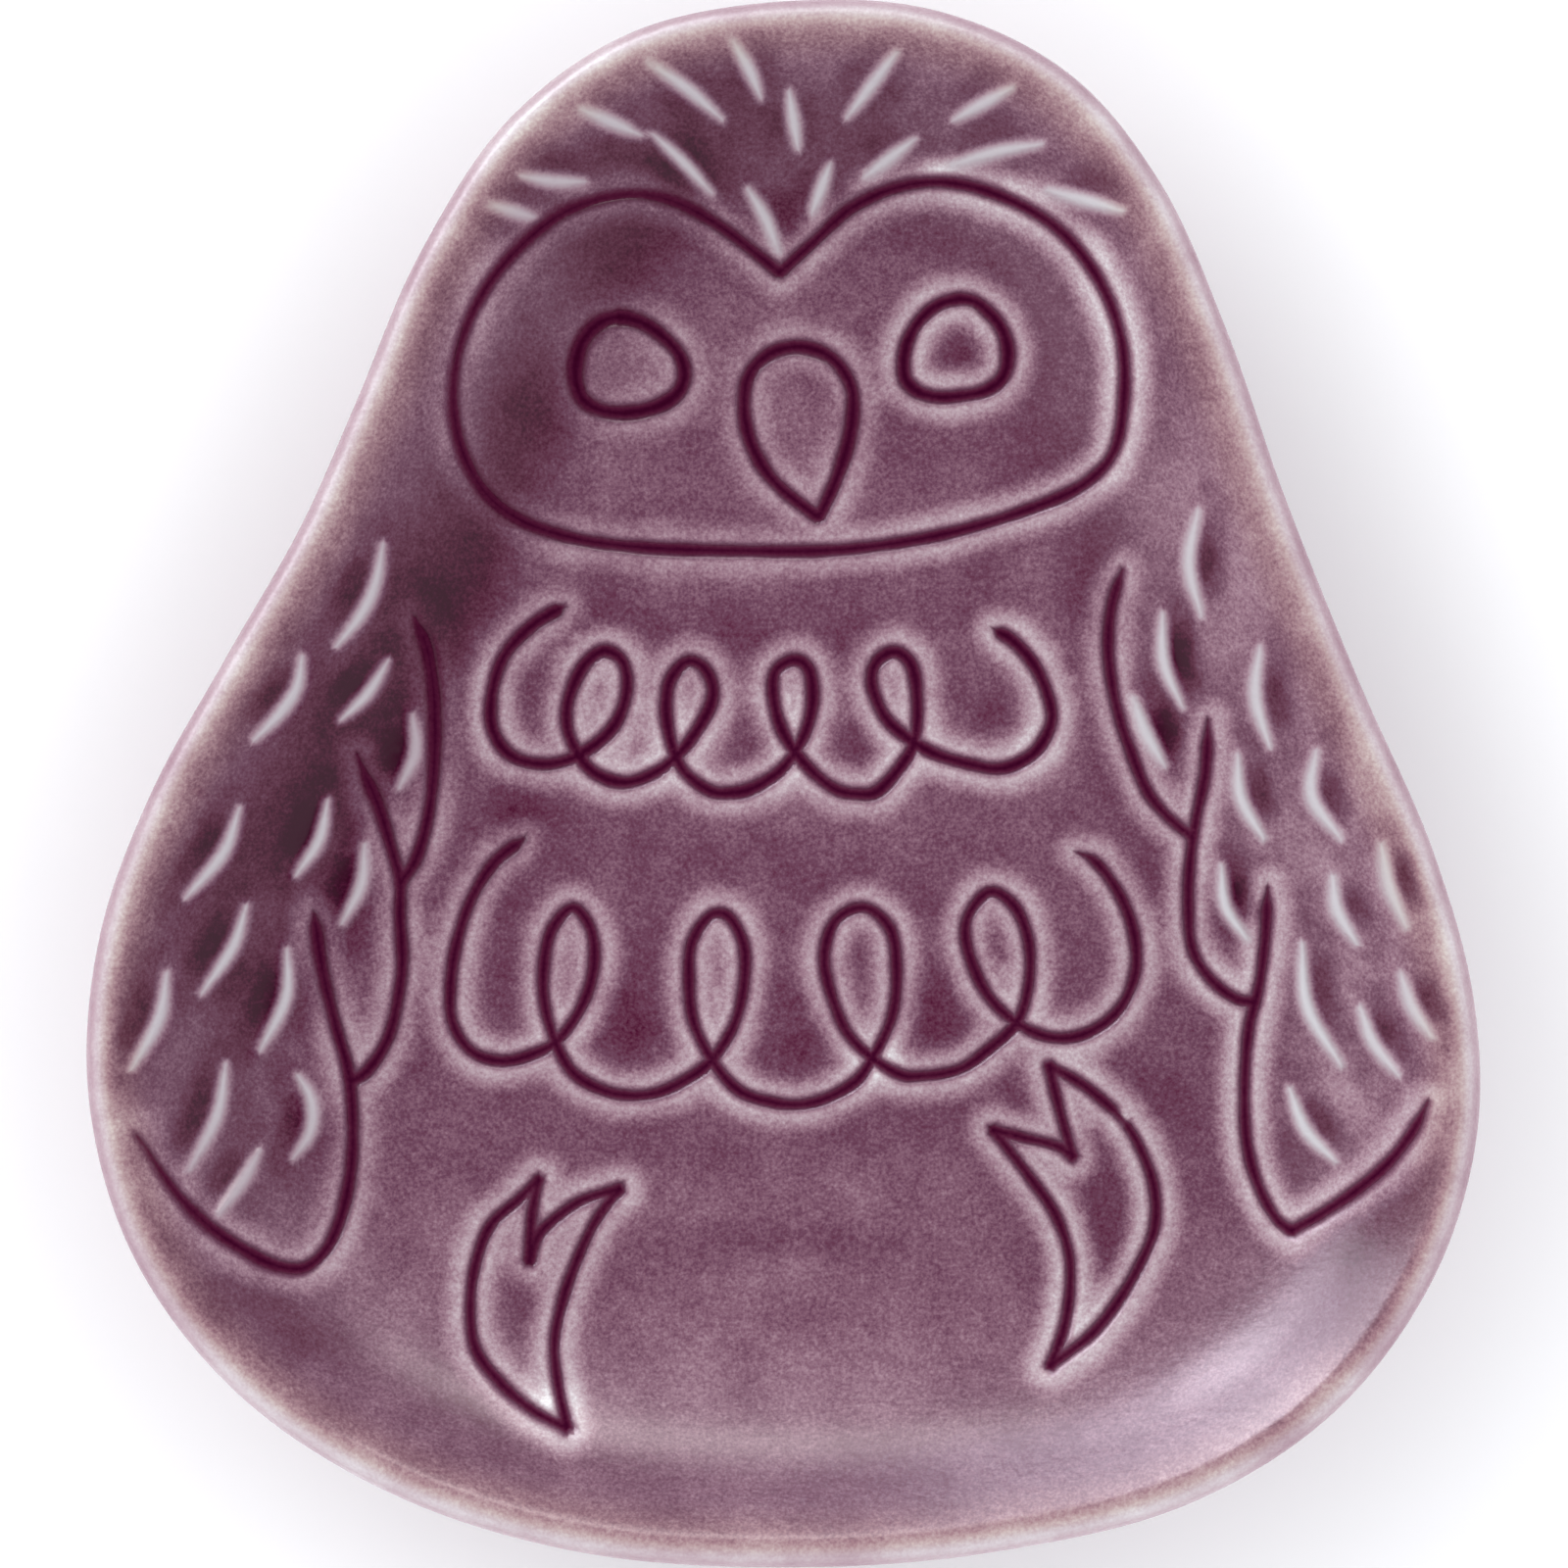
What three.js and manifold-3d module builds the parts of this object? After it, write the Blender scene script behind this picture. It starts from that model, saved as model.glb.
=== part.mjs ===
// Shallow owl-shaped stoneware dish. Units are millimetres, +X right, +Y towards the head, +Z up.
// The clay is one shell on a foot ring; every drawn line is a groove with a pool of glaze lying in it.
import * as THREE from 'three';
import Module from 'manifold-3d';

const wasm = await Module();
wasm.setup();
const { Manifold, Mesh } = wasm;

// Driving dimensions.
const BASE_Z = 3.0;          // underside of the shell, standing on the foot ring
const FLOOR_Z = 7.5;         // well floor
const CREST_Z = 19.0;        // top of the rim
const GROOVE_DEPTH = 0.62;   // pressed line, below the surface
const CUT_ABOVE = 2.0;       // how far a groove's cutter reaches above the surface
const CORNER_FILL = 0.8;     // how far a stroke runs on past its end, in half-widths, to fill a corner
const TAPER_WIDTH = 0.35;    // width of a fading end, as a fraction of the stroke's
const POOL_SINK = 0.28;      // glaze surface below the lip of its groove
const RIDGE_HEIGHT = 0.42;   // raised feather stroke
const RIDGE_ROOT = 0.35;     // how far its foot is bedded in the clay
const RIDGE_HALF = 0.5;      // half-width of a feather stroke at its middle
const RIDGE_TOP = 0.45;      // width of its top, as a fraction of its foot
const RIDGE_STEPS = 4;
const FOOT_OUTER = 0.61;     // foot ring outline as a fraction of the dish outline
const FOOT_INNER = 0.55;
const FOOT_BEVEL = 0.6;
const FOOT_SIDES = 64;
const HALF_WIDTH = 60;       // half the width of the dish
const CENTRE = [0, -8];      // middle of the well
const SIDES = 76;            // stations round the dish
const LINE_STEP = 2.6;       // spacing of stations along a drawn line
const RUN = 6;               // stations to a length of a groove's cutter

// [inset from the outline, height] across the rim and down the wall of the well.
const TOP_PROFILE = [[0, 16.5], [0.3, 17.9], [0.9, 18.75], [1.7, CREST_Z], [2.6, 18.75], [3.8, 17.9],
  [5.5, 15.6], [8, 13.7], [11, 11.7], [14.5, 9.95], [18.5, 8.55], [23, FLOOR_Z + 0.25], [27, FLOOR_Z]];
// The same from the rim down the outside and along the underside.
const UNDER_PROFILE = [[0.25, 14.8], [1.6, 12.9], [4.5, 10.9], [8.5, 8.2], [13, 5.9], [17.5, 4.1],
  [22, BASE_Z]];

const OUTLINE = [[3.2, 67.5], [14.5, 66.2], [24.9, 60.9], [32.5, 51.7], [38.2, 39], [43.2, 24.7], [49.5, 9],
  [56, -5.9], [59.5, -18.8], [59.7, -30.6], [56, -42.6], [47.6, -54], [35, -62], [18, -66.2], [0, -67.5],
  [-18, -66.1], [-34, -61], [-47.1, -52.4], [-56, -40.6], [-59.8, -27], [-58.9, -13.4], [-54.5, -1],
  [-48, 10.8], [-41.5, 22.2], [-36.7, 33], [-31.4, 45.4], [-23.5, 57.3], [-12.5, 64.9]];

// Drawn lines: half-width and the strokes of each, every stroke a list of [x, y].
const FACE = [[-0.3, 44.5], [2.8, 47.3], [6, 50.1], [9.9, 51.8], [14.1, 52.2], [19.2, 50.8], [24, 47.8],
  [27.5, 43.2], [29.3, 38.1], [29.5, 33.1], [28.6, 28.6], [26.1, 26], [21.4, 23.9], [13.8, 21.7],
  [5.1, 20.4], [-3.6, 20.3], [-12.2, 20.6], [-18.3, 21.4], [-23, 23], [-25.8, 25.2], [-27.7, 28.6],
  [-28.5, 33], [-27.8, 38], [-25.2, 43.4], [-20.3, 48.5], [-16.9, 50.3], [-13, 51.1], [-9.6, 50.6],
  [-5.8, 48.7], [-2, 45.9], [-0.3, 44.5]];
const LEFT_EYE = [[-14.3, 40.6], [-12, 40], [-10.2, 38.7], [-9, 37.3], [-8.6, 35.8], [-9, 34.3],
  [-10.3, 33.2], [-12.3, 32.5], [-14.4, 32.3], [-16.1, 32.6], [-17.4, 33.4], [-18, 34.9], [-18, 36.7],
  [-17.4, 38.5], [-16.2, 39.9]];
const RIGHT_EYE = [[15.5, 42.2], [13.7, 41.8], [12.3, 40.8], [11.3, 39.5], [10.7, 38], [10.5, 36.5],
  [10.7, 35.2], [11.7, 34.2], [13.4, 33.7], [15.5, 33.8], [17.5, 34.2], [18.9, 35.1], [19.5, 36.4],
  [19.5, 38.2], [18.9, 39.8], [17.7, 41.2], [16.6, 42]];
const BEAK = [[3.1, 23.2], [4.3, 25.7], [5.2, 28.1], [5.8, 30.3], [6.1, 32.5], [6, 34.4], [5.1, 36.2],
  [3.8, 37.4], [1.4, 38.1], [-0.7, 37.7], [-2.2, 36.7], [-3.1, 35.3], [-3.4, 33.4], [-3.2, 31.1],
  [-2.5, 29], [-1.4, 27.1], [0.1, 25.5], [1.6, 24.3], [3.1, 23.2]];
const UPPER = [[-19.2, 15.4], [-21.7, 13.9], [-24.3, 11.1], [-25.4, 7.6], [-25.3, 4.7], [-23.8, 2.5],
  [-20.8, 1.7], [-17.8, 2.5], [-14.7, 5.1], [-13.6, 8.5], [-14.1, 10.8], [-15.6, 11.6], [-17.2, 10.5],
  [-18.6, 7.7], [-18.9, 5.8], [-18.6, 4.1], [-16.8, 1.2], [-13.9, 0.1], [-11.1, 1], [-9.2, 2.5],
  [-7.8, 4.2], [-6.2, 7.2], [-6.2, 8.8], [-7.1, 10.3], [-8.3, 10.7], [-9.8, 9.1], [-10.2, 7], [-9.9, 4.2],
  [-8.8, 1.3], [-6.2, -0.7], [-4.5, -0.8], [-2.9, -0.5], [-0.1, 1.3], [1.9, 4.4], [2.6, 7.6], [2.1, 10.2],
  [1, 10.8], [-0.6, 9.9], [-0.9, 8.3], [-0.1, 4.7], [2.2, 1.4], [4.8, -0.6], [6.4, -0.9], [8, -0.8],
  [10.4, 1.7], [11.4, 3.5], [11.7, 7.2], [11.1, 10.5], [9.8, 11.5], [8.3, 10.8], [7.7, 9.2], [8.6, 6.3],
  [9.7, 4.9], [13, 2.7], [16.7, 1.6], [18.5, 1.3], [20.1, 1.6], [22.2, 3], [23.4, 5.4], [23.3, 6.9],
  [22.1, 10], [20.1, 12.4], [18.5, 13.4]];
const LOWER = [[-22.6, -4.8], [-25.1, -6.8], [-27.1, -9.9], [-28.4, -13.7], [-29, -17.6], [-28.8, -20.9],
  [-27.1, -23.4], [-24.4, -24.2], [-21.6, -23.5], [-19.8, -22.5], [-17.6, -19.5], [-16.5, -15.9],
  [-16.8, -12.6], [-18.3, -10.8], [-20.1, -12.6], [-20.9, -16.4], [-20.6, -20.2], [-18.5, -25],
  [-15.8, -26.7], [-13.3, -27.2], [-10.8, -26.9], [-7.8, -25.4], [-6.3, -24.2], [-4.3, -21.1],
  [-3.4, -17.3], [-3.5, -13.8], [-5, -11.4], [-6.2, -11.4], [-7.9, -13.7], [-8.2, -17], [-7.6, -21.4],
  [-4.1, -26.6], [-0.9, -27.8], [1.2, -28], [3.6, -27.5], [6.4, -25.9], [7.7, -24.1], [9.5, -20.3],
  [9.9, -16.4], [9.3, -12.6], [7.1, -10.8], [4.7, -11.8], [3.6, -14.9], [4.3, -18.7], [6.1, -22.4],
  [10.3, -25.4], [12, -25.5], [15.4, -24.9], [18, -23.1], [20.4, -20.8], [21.4, -17.6], [21.4, -13.7],
  [20.1, -10.6], [18.1, -9.4], [16.2, -11.4], [15.9, -13.4], [17.5, -17.9], [19.6, -20.3], [21.9, -21.7],
  [24, -22.2], [26.4, -21.8], [29.2, -19.8], [30.7, -16.5], [30.6, -13.1], [29.3, -9.6], [27.1, -6.7],
  [25.7, -6]];
const LEFT_WING = [
  [[-31.9, 14.3], [-31, 12], [-30.4, 8.1], [-30.3, 5], [-30.4, 1.6], [-30.9, -2.7], [-32, -6.6],
   [-33.2, -8.5]],
  [[-37, 2.6], [-36.3, 0.7], [-35.3, -1.7], [-34.3, -5], [-33.4, -8.5], [-33.4, -11.6], [-33.2, -15.5],
   [-33.5, -18.3], [-34.5, -22.3], [-36.4, -25.2], [-37.5, -25.9]],
  [[-40.8, -11.3], [-40.2, -15.7], [-39, -21], [-37.9, -25], [-37.5, -29.4], [-37.6, -33.2], [-38.4, -37.5],
   [-39.8, -40.6], [-41.6, -42], [-44, -41.7], [-46.8, -40.2], [-49.3, -38.4], [-51.6, -36.1],
   [-53.5, -33.5], [-55.1, -30.9], [-55.8, -30]]];
const RIGHT_WING = [
  [[29.5, 18.6], [28.6, 15.5], [28.3, 12], [28.6, 9], [29.3, 5.7], [30.4, 2.5], [31.8, -0.8], [33.4, -2.8],
   [35.5, -4.6]],
  [[36.9, 5.6], [36.7, 1], [35.9, -3.3], [35.5, -6.3], [35.3, -10], [35.7, -14.5], [37.4, -17.2],
   [39.6, -18.8], [40.8, -19]],
  [[42.1, -9], [41.9, -13.8], [41.4, -17.7], [40.6, -21.1], [40.2, -26], [40.4, -31.4], [41.4, -35.1],
   [43, -38], [44.1, -38.8]],
  [[44.1, -38.8], [46.5, -37.4], [49.6, -35.2], [52.3, -32.7], [54.4, -29.7], [55.5, -27.3]]];
const LEFT_FOOT = [
  [[-18.7, -55.8], [-21.4, -54.5], [-24.3, -52.2], [-26.7, -49.1], [-27.2, -45.5], [-26.8, -41.9],
   [-25.5, -38.5], [-22.9, -36.1], [-21.3, -34.5]],
  [[-21.3, -34.5], [-21.9, -37.6], [-22.1, -41.6]],
  [[-22.1, -41.6], [-21.3, -39.3], [-20.2, -38.2], [-17.7, -36.4], [-14.2, -35.3]],
  [[-14.2, -35.3], [-16.2, -37.9], [-18, -41.6], [-19.3, -45.4], [-19.9, -48.8], [-19.5, -52.4],
   [-18.7, -55.8]]];
const RIGHT_FOOT = [
  [[29.8, -29.5], [31, -31.5], [32.3, -35], [32.4, -38.5], [31.2, -41.6], [29.2, -45], [26.8, -47.9],
   [23.2, -50.6]],
  [[23.2, -50.6], [24.4, -47.5], [25, -44], [24.9, -40.9], [23.7, -37.5], [21.5, -34.3], [18.3, -30.2]],
  [[18.3, -30.2], [21.1, -30.9], [24.1, -31.7], [25.3, -32.6]],
  [[25.3, -32.6], [24.4, -29.5], [23.6, -26.4], [23.2, -24.6]],
  [[23.2, -24.6], [26.2, -26.3], [29, -28.6]]];

// Raised feather strokes, root to tip.
const CROWN_STROKES = [
  [[-25.2, 49.7], [-21.4, 48.8]], [[-22.5, 52.2], [-19.8, 51.9], [-17.1, 52]], [[-17.3, 57.9], [-12.3, 56]],
  [[-11.5, 61.9], [-8.2, 59.8], [-5.2, 57.4]], [[-11.2, 56.1], [-8.6, 53.8], [-6.2, 51.3]],
  [[-4.3, 63.7], [-2.9, 61.4], [-1.9, 59.2]], [[0.5, 59.8], [1.3, 55]],
  [[-3.1, 51.7], [-1.5, 49.1], [-0.4, 46.3]], [[4.1, 53.8], [2.5, 49.6]], [[9.8, 62.9], [5.5, 57.6]],
  [[11.4, 55.8], [7.1, 52.7]], [[19.7, 59.8], [14.7, 57.3]], [[22.3, 55.1], [18.4, 54.6], [14.6, 53.6]],
  [[22.8, 51.3], [29.2, 49.2]]];
const LEFT_STROKES = [
  [[-34.5, 20.7], [-35.2, 17.2], [-36.5, 14.5], [-38.6, 11.8]],
  [[-41.4, 11], [-41.9, 8.3], [-43.4, 6], [-45.6, 3.7]], [[-34.2, 10.7], [-36, 7.8], [-38.3, 5.5]],
  [[-32.2, 6], [-32, 2.8], [-33.4, -0.4]], [[-46.9, -2.1], [-48.2, -5.8], [-51.5, -9.9]],
  [[-39.5, -1.4], [-40.3, -4.9], [-42.3, -8]], [[-36.4, -5.3], [-36.7, -8.7], [-38.4, -12.2]],
  [[-46.5, -10.6], [-47.6, -14], [-50.3, -18.2]], [[-53.1, -16.3], [-53.7, -20.1], [-56, -24.6]],
  [[-43.1, -14.4], [-43.2, -18.5], [-45.4, -23.2]], [[-48.3, -24.3], [-49, -28.7], [-51.2, -33.3]],
  [[-42.2, -25.4], [-41.2, -27.1], [-40.9, -28.9], [-41.3, -30.7], [-42.6, -32.6]],
  [[-45.4, -31.8], [-46.8, -34.4], [-48.7, -37.1]]];
const RIGHT_STROKES = [
  [[35.8, 23.6], [35.1, 19], [36.2, 14.5]], [[32.9, 14.8], [33.1, 10.4], [34.7, 6.6]],
  [[30.5, 7.4], [31.5, 4.6], [33.2, 1.5]], [[41.1, 11.7], [40.8, 7.5], [42.1, 3.1]],
  [[39.4, 2.5], [39.7, -1.2], [41.7, -4.8]], [[45.9, 2.8], [45.6, -1], [48.1, -4.8]],
  [[51.4, -5.2], [52.1, -8.8], [53.6, -12.4]], [[38.1, -7.1], [38.5, -10.7], [40.3, -13.5]],
  [[47.5, -8], [47.9, -10.9], [49.6, -13.9]], [[45, -13.8], [45.5, -19.3], [48.4, -24.5]],
  [[49.9, -19.3], [51, -22.4], [53.1, -25.2]], [[53.2, -16.4], [54.1, -19.2], [55.8, -21.9]],
  [[44, -26.5], [45.4, -30.1], [47.9, -32.8]]];

// ---- curves ---------------------------------------------------------------------------------------------

function curve(points, closed = false) {
  const places = points.map(([x, y]) => new THREE.Vector3(x, y, 0));
  return new THREE.CatmullRomCurve3(places, closed, 'centripetal');
}

function stations(points, step, closed = false) {
  const path = curve(points, closed);
  const count = Math.max(closed ? 12 : 2, Math.ceil(path.getLength() / step));
  const at = path.getSpacedPoints(count);
  return closed ? at.slice(0, -1) : at;
}

const rim = curve(OUTLINE, true).getSpacedPoints(600).slice(0, -1);

function inset(x, y) {
  let best = Infinity;
  for (let i = 0; i < rim.length; i++) {
    const a = rim[i], b = rim[(i + 1) % rim.length];
    const ex = b.x - a.x, ey = b.y - a.y;
    const t = THREE.MathUtils.clamp(((x - a.x) * ex + (y - a.y) * ey) / (ex * ex + ey * ey), 0, 1);
    best = Math.min(best, Math.hypot(x - a.x - ex * t, y - a.y - ey * t));
  }
  return best;
}

function heightAt(x, y) {
  const d = inset(x, y);
  for (let i = 1; i < TOP_PROFILE.length; i++) {
    const [d0, z0] = TOP_PROFILE[i - 1], [d1, z1] = TOP_PROFILE[i];
    if (d <= d1) return z0 + (z1 - z0) * (d - d0) / (d1 - d0);
  }
  return FLOOR_Z;
}

// ---- solids ---------------------------------------------------------------------------------------------

function solid(points, faces) {
  return new Manifold(new Mesh({
    numProp: 3, vertProperties: new Float32Array(points.flat()), triVerts: new Uint32Array(faces.flat()),
  }));
}

// Rows of equal length joined into a tube, which either runs back into itself or has its two ends closed.
function tube(rows, wrapAlong) {
  const m = rows[0].length, faces = [];
  const last = wrapAlong ? rows.length : rows.length - 1;
  for (let i = 0; i < last; i++) {
    const a = i * m, b = ((i + 1) % rows.length) * m;
    for (let j = 0; j < m; j++) {
      const k = (j + 1) % m;
      faces.push([a + j, b + j, b + k], [a + j, b + k, a + k]);
    }
  }
  if (!wrapAlong) {
    const e = (rows.length - 1) * m;
    for (let j = 1; j < m - 1; j++) faces.push([0, j, j + 1], [e, e + j + 1, e + j]);
  }
  return solid(rows.flat(), faces);
}

function rimRows(profile, count) {
  const path = stations(OUTLINE, curve(OUTLINE, true).getLength() / count, true);
  return profile.map(([d, z]) => path.map((p, i) => {
    const a = path[(i + path.length - 1) % path.length], b = path[(i + 1) % path.length];
    const ex = b.x - a.x, ey = b.y - a.y, n = Math.hypot(ex, ey);
    return [p.x + ey / n * d, p.y - ex / n * d, z];
  }));
}

// A point of the outline drawn in towards the middle of the well.
function drawnIn(x, y, z, fraction) {
  return [CENTRE[0] + (x - CENTRE[0]) * fraction, CENTRE[1] + (y - CENTRE[1]) * fraction, z];
}

function dishShell() {
  const under = rimRows(UNDER_PROFILE, SIDES), top = rimRows(TOP_PROFILE, SIDES);
  const rows = [...under.slice().reverse(), ...top];
  rows.push(rows[rows.length - 1].map(([x, y, z]) => drawnIn(x, y, z, 0.5)));
  const m = rows[0].length, faces = [];
  for (let i = 0; i < rows.length - 1; i++) {
    for (let j = 0; j < m; j++) {
      const k = (j + 1) % m, a = i * m, b = a + m;
      faces.push([a + j, b + j, b + k], [a + j, b + k, a + k]);
    }
  }
  const points = rows.flat();
  const low = points.push([...CENTRE, BASE_Z]) - 1;
  const high = points.push([...CENTRE, FLOOR_Z]) - 1;
  const e = (rows.length - 1) * m;
  for (let j = 0; j < m; j++) {
    const k = (j + 1) % m;
    faces.push([low, j, k], [high, e + k, e + j]);
  }
  return solid(points, faces);
}

// Prisms under a drawn stroke. Its ends taper, or run on a little to fill a corner. It is made in short
// lengths that share their end rows, so that it may cross itself.
function stroke(points, half, { closed = false, taper = [false, false] } = {}) {
  const at = stations(points, LINE_STEP, closed), n = at.length;
  const rows = at.map((p, i) => {
    const a = at[closed ? (i + n - 1) % n : Math.max(0, i - 1)];
    const b = at[closed ? (i + 1) % n : Math.min(n - 1, i + 1)];
    const ex = b.x - a.x, ey = b.y - a.y, l = Math.hypot(ex, ey);
    const end = closed ? 0 : (i === n - 1) - (i === 0);
    const thin = end !== 0 && taper[end < 0 ? 0 : 1];
    const w = half * (thin ? TAPER_WIDTH : 1), on = thin ? 0 : end * half * CORNER_FILL;
    const x = p.x + ex / l * on, y = p.y + ey / l * on;
    const [lx, ly, rx, ry] = [x - ey / l * w, y + ex / l * w, x + ey / l * w, y - ex / l * w];
    const [lz, rz] = [heightAt(lx, ly), heightAt(rx, ry)];
    return [[lx, ly, lz - GROOVE_DEPTH], [rx, ry, rz - GROOVE_DEPTH], [rx, ry, rz + CUT_ABOVE],
      [lx, ly, lz + CUT_ABOVE]];
  });
  if (closed) return tube(rows, true);
  const parts = [];
  for (let i = 0; i < n - 1; i += RUN) parts.push(tube(rows.slice(i, i + RUN + 1), false));
  return parts.reduce((a, b) => a.add(b));
}

function cutter(strokes, half, options = {}) {
  return strokes.map((s) => stroke(s, half, options)).reduce((a, b) => a.add(b));
}

function ridge(points) {
  const path = curve(points), rows = [];
  for (let i = 0; i <= RIDGE_STEPS; i++) {
    const u = i / RIDGE_STEPS, p = path.getPointAt(u), t = path.getTangentAt(u);
    const swell = Math.sin(Math.PI * (0.08 + 0.84 * u)) ** 0.7;
    const w = RIDGE_HALF * swell, h = RIDGE_HEIGHT * swell;
    const side = (s, lift) => {
      const x = p.x - t.y * s, y = p.y + t.x * s;
      return [x, y, heightAt(x, y) + lift];
    };
    rows.push([side(-w, -RIDGE_ROOT), side(-w * RIDGE_TOP, h), side(w * RIDGE_TOP, h), side(w, -RIDGE_ROOT)]);
  }
  return tube(rows, false);
}

function footRing() {
  const path = stations(OUTLINE, curve(OUTLINE, true).getLength() / FOOT_SIDES, true);
  const b = FOOT_BEVEL / HALF_WIDTH;
  const section = [[FOOT_OUTER, BASE_Z], [FOOT_OUTER, FOOT_BEVEL], [FOOT_OUTER - b, 0], [FOOT_INNER + b, 0],
    [FOOT_INNER, FOOT_BEVEL], [FOOT_INNER, BASE_Z]];
  const rows = path.map((p) => section.map(([f, z]) => drawnIn(p.x, p.y, z, f)));
  return tube(rows, true);
}

// ---- assembly -------------------------------------------------------------------------------------------

const MATERIALS = {
  glaze: new THREE.MeshStandardMaterial({ name: 'mauve_glaze', color: 0x7d5a6e, roughness: 0.3 }),
  pooled: new THREE.MeshStandardMaterial({ name: 'pooled_glaze', color: 0x41052a, roughness: 0.2 }),
  clay: new THREE.MeshStandardMaterial({ name: 'bare_clay', color: 0xd9c7b4, roughness: 0.85 }),
};

const group = new THREE.Group();
group.name = 'owl_dish';

function add(name, body, material) {
  const mesh = body.getMesh(), geometry = new THREE.BufferGeometry();
  geometry.setAttribute('position', new THREE.BufferAttribute(Float32Array.from(mesh.vertProperties), 3));
  geometry.setIndex(new THREE.BufferAttribute(Uint32Array.from(mesh.triVerts), 1));
  geometry.computeVertexNormals();
  const node = new THREE.Mesh(geometry, material);
  node.name = name;
  group.add(node);
}

const shell = dishShell();
const sunk = shell.translate([0, 0, -POOL_SINK]);
const GROOVES = {
  face_line_glaze: cutter([FACE], 0.52),
  left_eye_glaze: cutter([LEFT_EYE], 0.62, { closed: true }),
  right_eye_glaze: cutter([RIGHT_EYE], 0.6, { closed: true }),
  beak_glaze: cutter([BEAK], 0.6),
  upper_scallop_glaze: cutter([UPPER], 0.55),
  lower_scallop_glaze: cutter([LOWER], 0.5),
  left_wing_glaze: cutter(LEFT_WING, 0.5, { taper: [true, false] }),
  right_wing_glaze: cutter(RIGHT_WING, 0.48),
  left_foot_glaze: cutter(LEFT_FOOT, 0.46),
  right_foot_glaze: cutter(RIGHT_FOOT, 0.46),
};

let body = shell;
for (const feather of [...CROWN_STROKES, ...LEFT_STROKES, ...RIGHT_STROKES]) body = body.add(ridge(feather));
for (const groove of Object.values(GROOVES)) body = body.subtract(groove);

add('clay_body', body, MATERIALS.glaze);
add('foot_ring', footRing(), MATERIALS.clay);
for (const [name, groove] of Object.entries(GROOVES)) add(name, groove.intersect(sunk), MATERIALS.pooled);

export default group;
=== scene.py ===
"""A shallow owl-shaped dish of glazed stoneware, seen from above.

The dish is one closed surface: its well is triangulated through the drawn lines, so that each pressed line
and each raised feather stroke has its own rows of points, and its rim, wall and underside are rings that
follow the outline. Every pressed line holds a pool of dark glaze. Lengths are in millimetres until a mesh
is made, +X is to the right, +Y towards the head and +Z up.
"""
import math

import bpy
import numpy as np
from mathutils.geometry import delaunay_2d_cdt
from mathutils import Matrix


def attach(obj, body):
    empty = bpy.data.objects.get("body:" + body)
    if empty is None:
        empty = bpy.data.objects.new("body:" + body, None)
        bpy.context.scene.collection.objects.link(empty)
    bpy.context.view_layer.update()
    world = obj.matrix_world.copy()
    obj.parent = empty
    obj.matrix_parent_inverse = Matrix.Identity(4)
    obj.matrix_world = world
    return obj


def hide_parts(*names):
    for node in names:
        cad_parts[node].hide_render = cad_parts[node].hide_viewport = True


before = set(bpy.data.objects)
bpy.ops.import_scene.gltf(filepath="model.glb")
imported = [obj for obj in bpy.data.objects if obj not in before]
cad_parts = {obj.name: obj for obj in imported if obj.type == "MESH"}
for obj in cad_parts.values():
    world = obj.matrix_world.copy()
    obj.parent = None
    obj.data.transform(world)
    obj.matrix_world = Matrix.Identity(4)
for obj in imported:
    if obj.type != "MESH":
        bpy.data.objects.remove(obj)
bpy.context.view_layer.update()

MM = 0.001
CENTRE = np.array([0.0, -8.0])     # middle of the well
WELL_EDGE = 3.4                    # inset from the outline where the rings of the rim begin
OUTLINE_LENGTH = 397.0
RIM_STATIONS = 760                 # points round each ring
LINE_DEPTH = 0.5                   # pressed lines, below the surface
LINE_BURR = 0.07                   # clay pushed up beside a pressed line
HAIR = 0.15                        # share of its width that a fading line keeps at its very end
POOL_SINK = 0.2                    # surface of the pooled glaze, below the lips of its line
POOL_THICK = 0.3
POOL_DIP = 0.05                    # how far a pool hangs down in its middle
STROKE_HEIGHT = 0.42               # raised feather strokes
STROKE_HALF = 0.5
GATHER_AT = 1.7                    # glaze that gathers beside a feather stroke: its distance, width and reach
GATHER_WIDTH = 1.1
GATHER_REACH = 5.0
FAR = 9.0                          # lines further away than this don't count
FILL = 0.13                        # how softly two lines run together where they meet
BASE_Z = 3.0                       # underside of the dish, inside the foot ring
BASE_INSET = 22.0

SPLINE_PARTS = 24                  # pieces of a curve between two of its points
PATH_STEP = 0.4
BATCH = 4000                       # points whose distances are worked out at a time
LINE_ROWS = (-0.16, 0.02, 0.22, 0.6, 1.1)      # rows of mesh points beside a line, from its edge
LEAST_ROW = 0.06
FEATHER_ROWS = (0.22, 0.45, 0.75, 1.15)        # and beside a feather stroke, from its middle
ROW_CELL = 0.16                    # the rows keep one point in each cell of this size
GRID_STEP = 0.9
GRID_CELL = 0.8                    # the grid keeps out of cells of this size that hold a row
RIM_RINGS = (2.9, 2.5, 2.1, 1.7, 1.3, 0.95, 0.65, 0.4, 0.2, 0.07, 0.0)
UNDER_RINGS = (0.03, 0.1, 0.3, 0.85, 1.7, 3.0, 4.5, 6.4, 8.5, 10.7, 13.0, 15.2, 17.5, 19.8, BASE_INSET)
BASE_RINGS = (0.8, 0.6, 0.4, 0.2)  # shares of the last ring
FIELD_KEYS = ("line", "feather", "beside", "cloud", "lip", "inset")

WORLD_LIGHT = 1.74
WORLD_TINT = (0.96, 0.97, 1.0)
FLOOR_WHITE = 0.97
FLOOR_REACH = 3000
LENS_MM = 195.6
SENSOR_MM = 36
CAMERA_AT = (0.00008, -0.00004, 0.75)          # metres

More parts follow.
